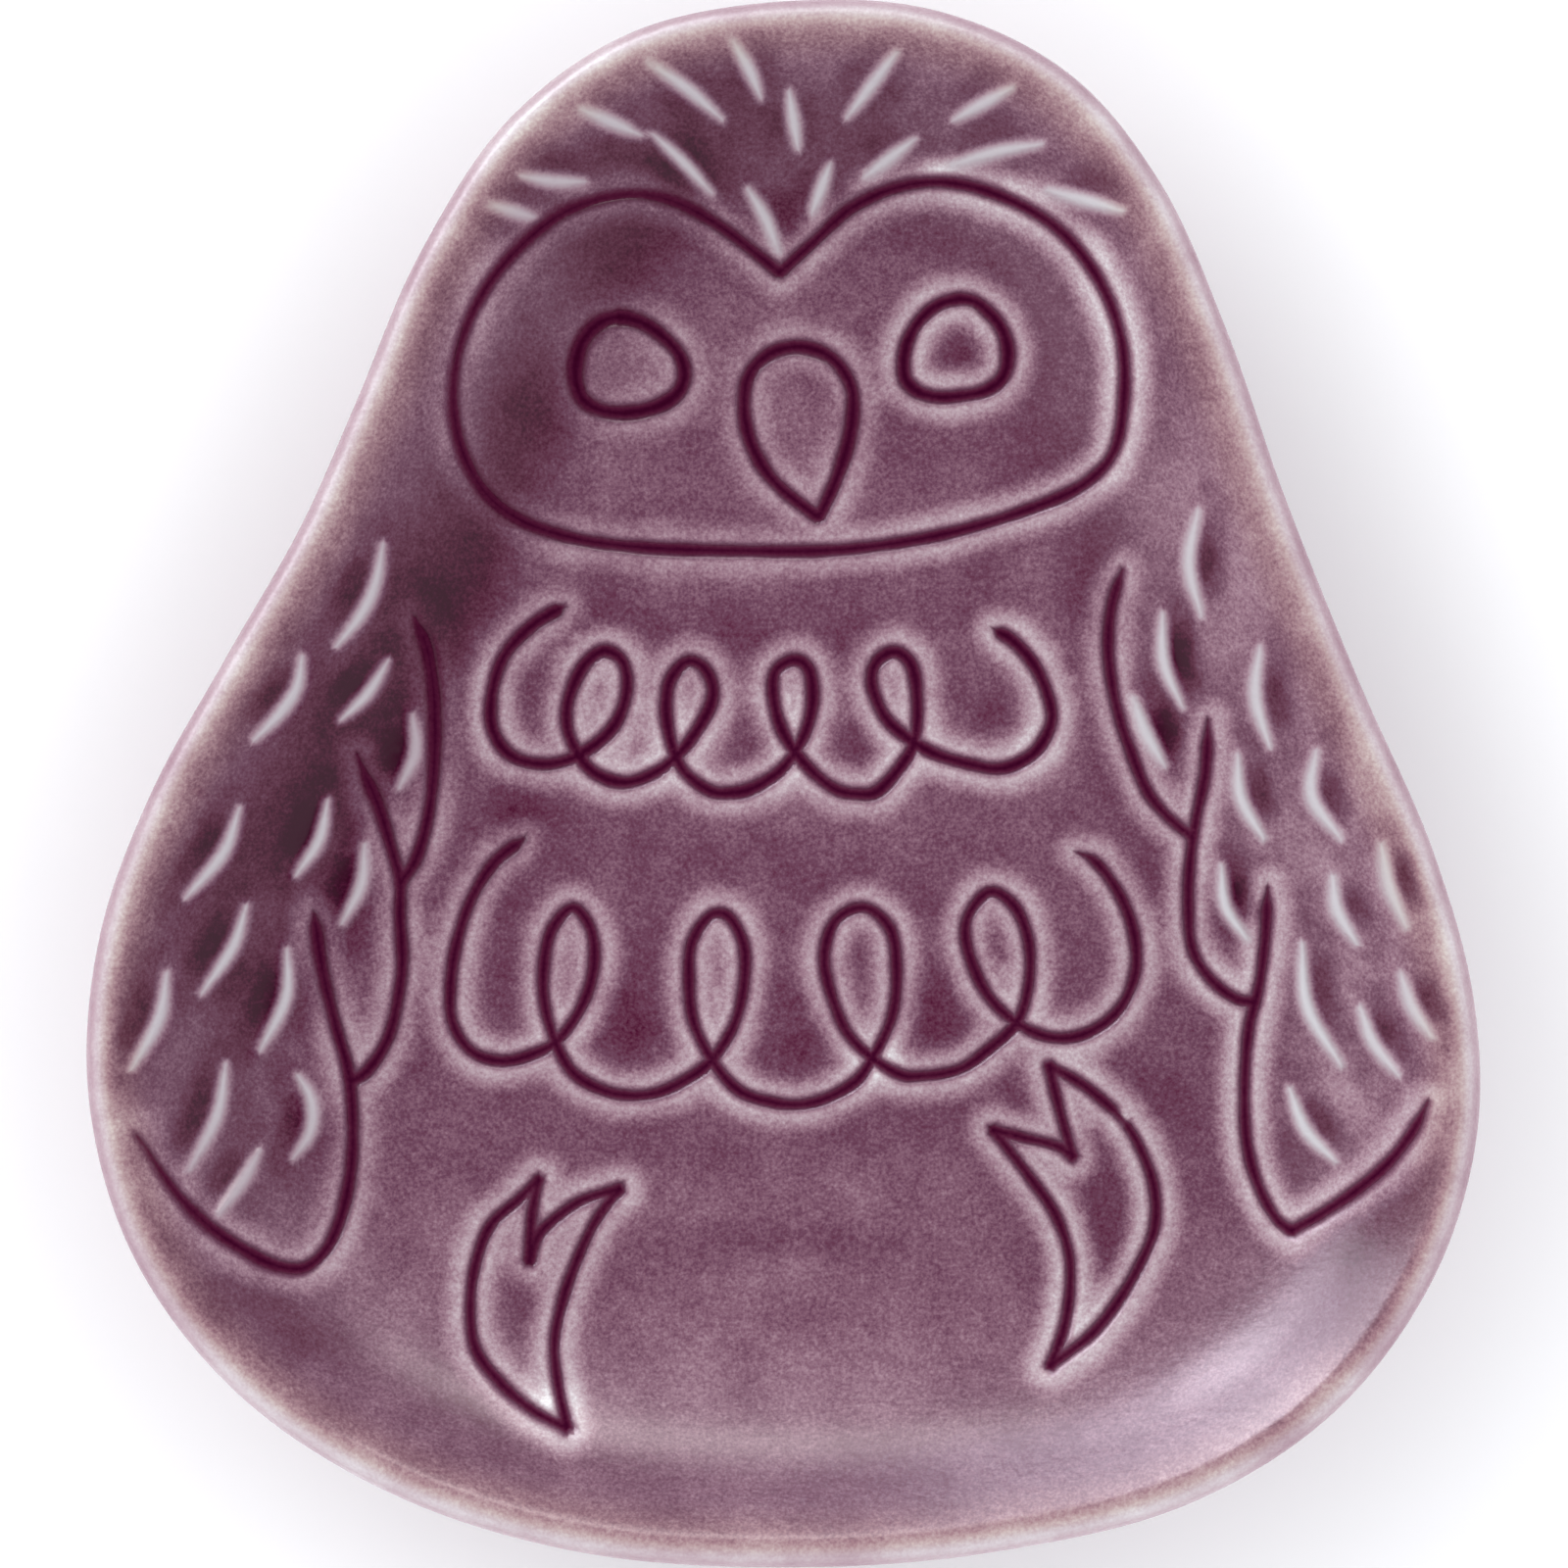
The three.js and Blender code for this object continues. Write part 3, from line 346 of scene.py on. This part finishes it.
def normals(path, closed=False):
    """Unit vectors a quarter turn to the left of the path's direction."""
    e = np.roll(path, -1, 0) - np.roll(path, 1, 0) if closed else np.gradient(path, axis=0)
    return np.stack([-e[:, 1], e[:, 0]], 1) / np.hypot(*e.T)[:, None]


def distance(points, path, closed=False):
    """Distance of each point to the path, and how far along the path (0 to 1) the nearest place is."""
    a = path
    b = np.roll(path, -1, 0) if closed else path[1:]
    a = a[:len(b)]
    e = b - a
    ee = (e ** 2).sum(1)
    best, along = np.zeros(len(points)), np.zeros(len(points))
    for k in range(0, len(points), BATCH):
        q = points[k:k + BATCH, None] - a[None]
        t = np.clip((q * e).sum(2) / ee, 0, 1)
        d = np.hypot(*np.moveaxis(q - t[..., None] * e, 2, 0))
        i = d.argmin(1)
        rows = np.arange(len(i))
        best[k:k + BATCH] = d[rows, i]
        along[k:k + BATCH] = (i + t[rows, i]) / len(b)
    return best, along


def near(points, path, reach):
    """Indices of the points in the path's box, widened by reach."""
    low, high = path.min(0) - reach, path.max(0) + reach
    return np.nonzero(((points > low) & (points < high)).all(1))[0]


def smooth(low, high, x):
    """0 below low, 1 above high, and 3 t^2 - 2 t^3 between, where t runs from 0 to 1."""
    t = np.clip((x - low) / (high - low), 0, 1)
    return t * t * (3 - 2 * t)


def profile(points, inset):
    """Height at an inset, on a smooth curve through the profile's points."""
    fine = spline(points, 0.05)
    return np.interp(inset, fine[:, 0], fine[:, 1])


def patches(points, rows):
    """Sum of soft oval patches: amount times exp(-(dx / rx)^2 - (dy / ry)^2)."""
    total = np.zeros(len(points))
    for x, y, rx, ry, amount in rows:
        total += amount * np.exp(-(((points[:, 0] - x) / rx) ** 2 + ((points[:, 1] - y) / ry) ** 2))
    return total


class Stroke:
    """One pressed stroke with its path and its half-width along it."""

    def __init__(self, name, index, points, half, closed):
        """The half-width wavers by two sine waves and, at an end that fades, shrinks towards a hair."""
        self.name, self.closed = name, closed
        self.path = spline(points, PATH_STEP, closed)
        length = len(self.path) * PATH_STEP
        s = np.linspace(0, length, len(self.path))
        start, end = FADES.get((name, index), (0.0, 0.0))
        wobble = 1 + 0.07 * np.sin(s * 0.55 + index * 2.0 + len(name)) + 0.04 * np.sin(s * 1.7 + len(name))
        self.half = half * wobble
        if start:
            self.half = self.half * (HAIR + (1 - HAIR) * smooth(-0.2, start, s))
        if end:
            self.half = self.half * (HAIR + (1 - HAIR) * smooth(-0.2, end, length - s))

    def gap(self, points):
        """Distance outside the stroke's edge: negative inside it."""
        d, along = distance(points, self.path, self.closed)
        return d - np.interp(along, np.linspace(0, 1, len(self.half)), self.half)


def line_field(points):
    """Distance to the nearest pressed line's edge, and which line it is.

    Where lines meet, their gaps run together as -FILL * log(sum of exp(-gap / FILL)).
    """
    total, nearest, owner = np.zeros(len(points)), np.full(len(points), FAR), np.zeros(len(points), int)
    names = list(LINES)
    for stroke in STROKES:
        i = near(points, stroke.path, FAR)
        gap = stroke.gap(points[i])
        total[i] += np.exp(-gap / FILL)
        closer = gap < nearest[i]
        nearest[i[closer]] = gap[closer]
        owner[i[closer]] = names.index(stroke.name)
    blended = -FILL * np.log(np.maximum(total, 1e-30))
    return np.clip(np.minimum(blended, nearest), -1, FAR), owner


def feather_field(points):
    """Distance to the nearest raised stroke's edge, and the thick glaze that gathers beside it.

    A stroke's half-width is that of a slim leaf, sin(pi t)^0.8 with blunt ends. The glaze beside it is a
    soft band at GATHER_AT from its middle, on both sides of a crown stroke and on a wing stroke's inner side.
    """
    gap, beside = np.full(len(points), FAR), np.zeros(len(points))
    for path, side in FEATHERS:
        i = near(points, path, GATHER_REACH)
        d, along = distance(points[i], path)
        half = STROKE_HALF * np.sin(np.pi * (0.07 + 0.86 * along)) ** 0.8
        gap[i] = np.minimum(gap[i], d - half)
        nearest = np.rint(along * (len(path) - 1)).astype(int)
        here = points[i] - path[nearest]
        e = np.gradient(path, axis=0)[nearest]
        across = (e[:, 0] * here[:, 1] - e[:, 1] * here[:, 0]) / np.hypot(*e.T)
        shade = np.exp(-((np.abs(d) - GATHER_AT) / GATHER_WIDTH) ** 2)
        shade = shade * np.sin(np.pi * np.clip(along, 0.06, 0.94)) ** 0.7
        shade *= 0.45 if side == 0 else np.where(np.sign(across) == -side, 1.0, 0.12)
        beside[i] = np.maximum(beside[i], shade)
    return gap, beside


def fields(points, inset=None):
    """Everything that is known about places on the well.

    The height z is the well's profile, less the pressed lines, plus the burr beside them and the swell of
    the feather strokes. Over the rim the glaze is thinner, and a little thinner again along the lower edge.
    """
    f = {}
    f["inset"] = distance(points, OUTLINE_PATH, True)[0] if inset is None else inset
    f["line"], f["owner"] = line_field(points)
    f["feather"], f["beside"] = feather_field(points)
    lower_edge = (1 - smooth(0.6, 1.3, f["inset"])) * (1 - smooth(-58, -34, points[:, 1]))
    # The patches hold glaze thickness together with painted shade.
    f["cloud"] = patches(points, GLAZE_AND_SHADE_PATCHES) - profile(RIM_GLAZE, f["inset"])
    f["cloud"] -= 0.1 * lower_edge
    f["line"] = f["line"] + patches(points, THINNER)
    f["lip"] = 1 + patches(points, LIPS)
    base = profile(WELL_PROFILE, f["inset"])
    f["pool_z"] = base - POOL_SINK
    press = LINE_DEPTH * (1 - smooth(-0.4, 0.28, f["line"]))
    burr = LINE_BURR * np.exp(-((f["line"] - 0.55) / 0.4) ** 2)
    swell = STROKE_HEIGHT * (1 - smooth(-0.5, 0.55, f["feather"]))
    f["z"] = base - press + burr + swell
    return f


OUTLINE_PATH = spline(OUTLINE, 0.53, True)
STROKES = [Stroke(name, i, pts, half, closed) for name, (half, strokes, closed) in LINES.items()
           for i, pts in enumerate(strokes)]
FEATHERS = [(spline(pts, 0.3), side) for group, side in
            ((CROWN_STROKES, 0), (LEFT_STROKES, 1), (RIGHT_STROKES, -1)) for pts in group]


# ---- the surface ----------------------------------------------------------------------------------------

def signed_area(path):
    """Half the sum of x times the next y less y times the next x: positive where the path runs left."""
    q = np.roll(path, -1, 0)
    return 0.5 * (path[:, 0] * q[:, 1] - path[:, 1] * q[:, 0]).sum()


RIM_PATH = spline(OUTLINE, OUTLINE_LENGTH / RIM_STATIONS, True)
RIM_PATH = RIM_PATH[::-1] if signed_area(RIM_PATH) < 0 else RIM_PATH
RIM_IN = normals(RIM_PATH, True)


def inside(points, loop):
    """Whether each point is nearer the middle of the well than the loop is in the same direction."""
    w, v = points - CENTRE, loop - CENTRE
    a, b = np.arctan2(w[:, 1], w[:, 0]), np.arctan2(v[:, 1], v[:, 0])
    order = np.argsort(b)
    reach = np.interp(a, b[order], np.hypot(*v[order].T), period=2 * np.pi)
    return np.hypot(*w.T) < reach


def well_points():
    """Points of the well: rows along each line and feather stroke, then a grid that fills the rest."""
    rows = []
    for stroke in STROKES:
        n = normals(stroke.path, stroke.closed)
        rows.append(stroke.path)
        for lift in LINE_ROWS:
            offset = np.maximum(stroke.half + lift, LEAST_ROW)[:, None]
            rows += [stroke.path - n * offset, stroke.path + n * offset]
    for path, _ in FEATHERS:
        n = normals(path)
        rows.append(path)
        for offset in FEATHER_ROWS:
            rows += [path - n * offset, path + n * offset]
    rows = np.vstack(rows)
    _, keep = np.unique(np.rint(rows / ROW_CELL).astype(int), axis=0, return_index=True)
    rows = rows[np.sort(keep)]
    gx, gy = np.meshgrid(np.arange(-60, 60, GRID_STEP), np.arange(-68, 68, GRID_STEP * 0.866))
    gx = gx + (np.arange(gx.shape[0]) % 2)[:, None] * GRID_STEP / 2
    grid = np.stack([gx.ravel(), gy.ravel()], 1)
    grid = grid[inside(grid, RIM_PATH + RIM_IN * (WELL_EDGE + 0.6))]
    taken = {tuple(c) for c in np.rint(rows / GRID_CELL).astype(int)}
    free = [tuple(c) not in taken for c in np.rint(grid / GRID_CELL).astype(int)]
    points = np.vstack([rows, grid[np.array(free)]])
    return points[inside(points, RIM_PATH + RIM_IN * (WELL_EDGE + 0.25))]


def triangulate(loop, points):
    """Anticlockwise triangles over the loop and the points inside it; the loop's points come first."""
    every = np.vstack([loop, points])
    got = delaunay_2d_cdt(every.tolist(), [], [list(range(len(loop)))], 1, 1e-6, True)
    source = np.array([ids[0] for ids in got[3]])
    faces = source[np.array(got[2])]
    a, b, c = np.moveaxis(every[faces], 1, 0)
    turn = (b - a)[:, 0] * (c - b)[:, 1] - (b - a)[:, 1] * (c - b)[:, 0]
    faces[turn < 0] = faces[turn < 0][:, ::-1]
    return every, faces


def mesh(name, verts, faces, attributes=None, material=None):
    """A smooth-shaded object from millimetre points and faces given as arrays of triangles or quads."""
    data = bpy.data.meshes.new(name)
    corners = [list(map(int, f)) for block in faces for f in block]
    data.from_pydata((np.asarray(verts) * MM).tolist(), [], corners)
    for key, values in (attributes or {}).items():
        layer = data.attributes.new(key, "FLOAT", "POINT")
        layer.data.foreach_set("value", np.asarray(values, np.float32))
    data.polygons.foreach_set("use_smooth", np.ones(len(data.polygons), bool))
    data.update()
    data.validate()
    if material:
        data.materials.append(material)
    obj = bpy.data.objects.new(name, data)
    bpy.context.scene.collection.objects.link(obj)
    return obj


def strip(first, second):
    """Quads between two rings of vertex numbers that run the same way."""
    return np.stack([first, second, np.roll(second, -1), np.roll(first, -1)], 1)


def plain_fields(count, below):
    """Fields of a ring under the dish, where nothing is drawn; below is how far in under the rim it lies."""
    zero = np.zeros(count)
    thin = profile(RIM_GLAZE, 0) * (1 - smooth(1, 9, below))
    return {"line": zero + FAR, "feather": zero + FAR, "beside": zero, "cloud": zero - thin,
            "lip": zero + 1, "inset": zero}


def dish(material):
    """The dish: a triangulated well, then rings over the rim, down the wall and in under the base.

    A ring is the outline moved inwards by an inset, at the height that the profile has there.
    """
    loop = RIM_PATH + RIM_IN * WELL_EDGE
    xy, well_faces = triangulate(loop, well_points())
    f = fields(xy)
    verts, faces = [np.column_stack([xy, f["z"]])], [well_faces]
    columns = {key: [f[key]] for key in FIELD_KEYS}
    previous, used = np.arange(len(loop)), len(xy)

    def ring(flat, z, values):
        nonlocal previous, used
        numbers = np.arange(used, used + len(flat))
        used += len(flat)
        verts.append(np.column_stack([flat, np.broadcast_to(z, len(flat))]))
        for key in FIELD_KEYS:
            columns[key].append(values[key])
        faces.append(strip(previous, numbers))
        previous = numbers

    for inset in RIM_RINGS:
        flat = RIM_PATH + RIM_IN * inset
        ring(flat, profile(WELL_PROFILE, inset), fields(flat, np.full(len(flat), inset)))
    for inset in UNDER_RINGS:
        ring(RIM_PATH + RIM_IN * inset, profile(UNDER_PROFILE, inset), plain_fields(len(RIM_PATH), inset))
    base = RIM_PATH + RIM_IN * BASE_INSET
    for share in BASE_RINGS:
        ring(CENTRE + (base - CENTRE) * share, BASE_Z, plain_fields(len(base), BASE_INSET))
    verts.append(np.array([[*CENTRE, BASE_Z]]))
    for key, value in plain_fields(1, BASE_INSET).items():
        columns[key].append(value)
    faces.append(np.stack([previous, np.full(len(previous), used), np.roll(previous, -1)], 1))
    attributes = {key: np.concatenate(parts) for key, parts in columns.items()}
    body = mesh("dish_body", np.vstack(verts), faces, attributes, material)
    return body, xy, well_faces, f


def pool(name, xy, faces, f, material):
    """The glaze lying in one line.

    Its top is the well's triangles over the line, sunk below the lips; its underside is the same, lower by
    the thickness, and walls close the border between them.
    """
    number = list(LINES).index(name)
    mine = (f["line"][faces].min(1) < 0.0) & (f["owner"][faces] == number).all(1)
    used, flat = np.unique(faces[mine], return_inverse=True)
    top = flat.reshape(-1, 3)
    n = len(used)
    edges = np.vstack([top[:, [0, 1]], top[:, [1, 2]], top[:, [2, 0]]])
    codes, back = edges[:, 0] * n + edges[:, 1], edges[:, 1] * n + edges[:, 0]
    border = edges[~np.isin(codes, back)]
    dip = POOL_DIP * np.clip(-f["line"][used] / 0.4, 0, 1)
    high = np.column_stack([xy[used], f["pool_z"][used] - dip])
    low = high - [0, 0, POOL_THICK]
    walls = np.column_stack([border[:, 1], border[:, 0], border[:, 0] + n, border[:, 1] + n])
    values = {key: np.tile(f[key][used], 2) for key in FIELD_KEYS}
    return mesh(name + "_pool", np.vstack([high, low]), [top, top[:, ::-1] + n, walls], values, material)


def foot(material):
    """The unglazed foot ring: a rounded section carried round the outline at three fifths of its size."""
    path = RIM_PATH[::2]
    n = len(path)
    verts = [np.column_stack([CENTRE + (path - CENTRE) * share, np.full(n, z)]) for share, z in FOOT_SECTION]
    rings = [np.arange(n) + i * n for i in range(len(FOOT_SECTION))]
    faces = [strip(a, b) for a, b in zip(rings, rings[1:] + rings[:1])]
    return mesh("foot_ring_clay", np.vstack(verts), faces, {}, material)


# ---- materials ------------------------------------------------------------------------------------------

class Nodes:
    """A node tree whose nodes are all made by one call."""

    def __init__(self, tree):
        self.tree = tree

    def node(self, kind, settings=None, sockets=None):
        """A node of a kind: its settings are made first, then its sockets' values or links."""
        made = self.tree.nodes.new("ShaderNode" + kind)
        for name, setting in (settings or {}).items():
            if name == "stops":
                self.set_stops(made.color_ramp.elements, setting)
            else:
                setattr(made, name, setting)
        for name, value in (sockets or {}).items():
            self.feed(made.inputs[name], value)
        return made

    def feed(self, slot, value):
        """Links a socket's value into the slot, or sets it there when it is a plain number or colour."""
        if isinstance(value, Value):
            value = value.socket
        if isinstance(value, bpy.types.NodeSocket):
            self.tree.links.new(value, slot)
        else:
            slot.default_value = value

    @staticmethod
    def set_stops(points, stops):
        """Stops of a colour ramp, each a place from 0 to 1 and a colour from 0 to 255."""
        while len(points) < len(stops):
            points.new(0.5)
        for point, (at, _) in zip(points, stops):
            point.position = at
        for point, (_, rgb) in zip(points, stops):
            point.color = (*linear(rgb), 1)


class Value:
    """A shader socket that can be used in sums, which add their Math nodes."""

    def __init__(self, nodes, socket):
        self.nodes, self.socket = nodes, socket

    def maths(self, operation, first, second):
        made = self.nodes.node("Math", {"operation": operation}, {0: first, 1: second})
        return Value(self.nodes, made.outputs[0])

    def __add__(self, other):
        return self.maths("ADD", self, other)

    def __sub__(self, other):
        return self.maths("SUBTRACT", self, other)

    def __mul__(self, other):
        return self.maths("MULTIPLY", self, other)

    def __radd__(self, other):
        return self.maths("ADD", other, self)

    def __rsub__(self, other):
        return self.maths("SUBTRACT", other, self)

    def __rmul__(self, other):
        return self.maths("MULTIPLY", other, self)

    def step(self, low, high):
        """0 below low, 1 above high, smooth between; falling where low is above high."""
        ends = (low, high, 0, 1) if low < high else (high, low, 1, 0)
        sockets = dict(zip(("From Min", "From Max", "To Min", "To Max"), ends))
        sockets["Value"] = self
        made = self.nodes.node("MapRange", {"interpolation_type": "SMOOTHSTEP"}, sockets)
        return Value(self.nodes, made.outputs[0])


class Finish(Nodes):
    """A material whose pattern is placed by the object's own coordinates and fields."""

    def __init__(self, name):
        self.material = bpy.data.materials.new(name)
        self.material.use_nodes = True
        super().__init__(self.material.node_tree)
        self.shader = self.tree.nodes["Principled BSDF"]
        self.place = self.node("TexCoord").outputs["Object"]

    def set(self, name, value):
        self.feed(self.shader.inputs[name], value)

    def field(self, name):
        return Value(self, self.node("Attribute", {"attribute_name": name}).outputs["Fac"])

    def noise(self, size_mm, detail=2.0, roughness=0.5, stretch=(1, 1, 1)):
        """Noise with features of the given size, centred on zero, from about -0.5 to 0.5."""
        place = self.node("Mapping", {}, {"Vector": self.place, "Scale": stretch}).outputs[0]
        sockets = {"Vector": place, "Scale": 1 / (size_mm * MM), "Detail": detail, "Roughness": roughness}
        return Value(self, self.node("TexNoise", {}, sockets).outputs[0]) - 0.5

    def ramp(self, value, stops):
        return self.node("ValToRGB", {"stops": stops}, {0: value}).outputs[0]

    def tinted(self, colour, tint, amount):
        """The colour, multiplied by the tint where the amount is 1."""
        settings = {"data_type": "RGBA", "blend_type": "MULTIPLY"}
        return self.node("Mix", settings, {"Factor": amount, 6: colour, 7: (*tint, 1)}).outputs[2]

    def bump(self, height, distance_mm, normal=None):
        """A normal tilted by the height's slope, on top of another bump's normal if one is given."""
        sockets = {"Strength": 1.0, "Distance": distance_mm * MM, "Height": height}
        if normal is not None:
            sockets["Normal"] = normal
        return self.node("Bump", {}, sockets).outputs[0]


def linear(rgb):
    """A colour as painted, 0 to 255, made linear by the usual curve with exponent 2.4."""
    c = np.array(rgb, float) / 255
    return tuple(np.where(c <= 0.04045, c / 12.92, ((c + 0.055) / 1.055) ** 2.4))


def glaze(name, pooled=False):
    """Mottled mauve glaze, whose colour follows its thickness.

    The thickness is mottling, clouds of glaze and patches of painted shade, more beside a feather stroke and
    less at the lips of the lines; a ridge is nearly bare and a pit, which is a pressed line, is deep in
    glaze.
    has a warm tint, and the gloss is weaker over the rim and gone in the lines.
    """
    g = Finish(name)
    line, feather, beside = g.field("line"), g.field("feather"), g.field("beside")
    cloud, lip, inset = g.field("cloud"), g.field("lip"), g.field("inset")
    edge = line + g.noise(0.45, 2) * 0.12
    base = g.noise(15, 3, 0.55) * 0.3 + g.noise(4.0, 3, 0.6) * 0.16 + 0.62
    base = base + g.noise(5, 1, stretch=(0.25, 1, 1)) * line.step(1.0, 6.0) * 0.08
    # The patches add glaze thickness and painted shade to the thickness here.
    thick = base + cloud + beside * 0.3 - edge.step(2.75, 0.4) * lip * 0.29
    grain = (g.noise(0.32, 2, 0.65) * 0.42 + g.noise(0.9, 2) * 0.14) * (inset.step(0.6, 2.6) * 0.65 + 0.35)
    ridge = (feather + g.noise(0.5, 1) * 0.12).step(0.76, -0.42)
    thick = (thick + grain) * (1 - ridge) + ridge * (0.36 - lip * 0.17)
    pit = (line + g.noise(0.3, 2) * 0.14).step(0.66, -0.45)
    deep = g.noise(0.4, 2, 0.6) * 0.12 + line.step(-0.3, -0.66) * 0.08 + 0.9
    thick = thick * (1 - pit) + pit * deep
    wall = inset.step(6.0, 3.0) * inset.step(0.9, 2.0)
    colour = g.tinted(g.ramp(thick, GLAZE_RAMP), WALL_TINT, wall)
    g.set("Base Color", g.tinted(colour, RIDGE_TINT, ridge))
    g.set("Roughness", 0.26)
    g.set("Specular IOR Level", 0.0 if pooled else 0.04)
    g.set("Coat Weight", 0.0 if pooled else (1 - pit) * (inset.step(0.8, 1.7) * 0.75 + 0.25) * COAT)
    g.set("Coat Roughness", 0.24)
    peel = g.bump(g.noise(0.8, 2, 0.55, stretch=(0.6, 1, 1)), 0.12)
    g.set("Normal", g.bump(g.noise(7, 1), 0.12, peel))
    return g.material


def bare_clay():
    """Pale stoneware with specks and soft stains, and no gloss."""
    g = Finish("bare_clay")
    tone = g.noise(0.5, 3) * 0.5 + g.noise(6, 2) * 0.4 + 0.5
    g.set("Base Color", g.ramp(tone, CLAY_RAMP))
    g.set("Roughness", 0.85)
    g.set("Normal", g.bump(g.noise(0.35, 3), 0.05))
    return g.material


# ---- the object -----------------------------------------------------------------------------------------

body_glaze = glaze("mottled_glaze")
pool_glaze = glaze("pooled_glaze", pooled=True)
body, well_xy, well_faces, well_fields = dish(body_glaze)
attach(body, "root")
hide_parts("clay_body")
for line_name in LINES:
    piece = pool(line_name, well_xy, well_faces, well_fields, pool_glaze)
    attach(piece, "root")
    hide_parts(line_name + "_glaze")
foot_ring = foot(bare_clay())
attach(foot_ring, "root")
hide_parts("foot_ring")


# ---- stage ----------------------------------------------------------------------------------------------

def stage_floor():
    """A wide sheet of matt white paper at the height that the foot ring stands on."""
    corners = [[-1, -1, 0], [1, -1, 0], [1, 1, 0], [-1, 1, 0]]
    floor = mesh("floor", np.array(corners) * FLOOR_REACH, [[[0, 1, 2, 3]]])
    paper = Finish("white_floor")
    paper.set("Base Color", (FLOOR_WHITE, FLOOR_WHITE, FLOOR_WHITE, 1))
    paper.set("Roughness", 0.9)
    paper.set("Specular IOR Level", 0.0)
    floor.data.materials.append(paper.material)


def softbox(name, azimuth, from_vertical, distance_m, size_m, watts, tint, sheen_only):
    """A soft panel that faces the dish, from an azimuth counted from +X towards +Y.

    A sheen-only panel is mirrored in the glaze and lights no colour.
    """
    light = bpy.data.lights.new(name, "AREA")
    light.shape, light.energy, light.color = "RECTANGLE", watts, tint
    light.size, light.size_y = size_m
    obj = bpy.data.objects.new(name, light)
    a, v = math.radians(azimuth), math.radians(from_vertical)
    aim = np.array([math.sin(v) * math.cos(a), math.sin(v) * math.sin(a), math.cos(v)])
    obj.location = aim * distance_m
    obj.rotation_euler = (v, 0, a + math.pi / 2)
    obj.visible_diffuse = not sheen_only
    bpy.context.scene.collection.objects.link(obj)


def surround():
    """Even studio light from all round, dark overhead so that the flat of the well mirrors nothing."""
    world = bpy.data.worlds.new("surround")
    world.use_nodes = True
    sky = Nodes(world.node_tree)
    direction = sky.node("TexCoord").outputs["Generated"]
    up = Value(sky, sky.node("SeparateXYZ", {}, {0: direction}).outputs["Z"])
    back = sky.tree.nodes["Background"].inputs
    sky.feed(back["Strength"], up.step(0.97, 0.7) * WORLD_LIGHT)
    sky.feed(back["Color"], (*WORLD_TINT, 1))
    bpy.context.scene.world = world


stage_floor()
surround()
softbox("key", 126, 76, 1.1, (1.2, 0.6), 48, (0.88, 0.9, 1.0), True)
softbox("key_core", 126, 69, 1.1, (0.3, 0.35), 6, (0.92, 0.95, 1.0), True)
softbox("side_fill", 140, 62, 1.1, (0.8, 0.5), 3, (1.0, 0.98, 0.98), False)
softbox("warm_fill", 80, 59, 1.2, (0.7, 0.25), 11, (1.0, 0.94, 0.9), True)

camera = bpy.data.objects.new("camera", bpy.data.cameras.new("camera"))
camera.data.lens, camera.data.sensor_width = LENS_MM, SENSOR_MM
camera.data.clip_start, camera.data.clip_end = 0.05, 20
camera.location = CAMERA_AT
bpy.context.scene.collection.objects.link(camera)
bpy.context.scene.camera = camera
bpy.context.scene.view_settings.view_transform = "Standard"
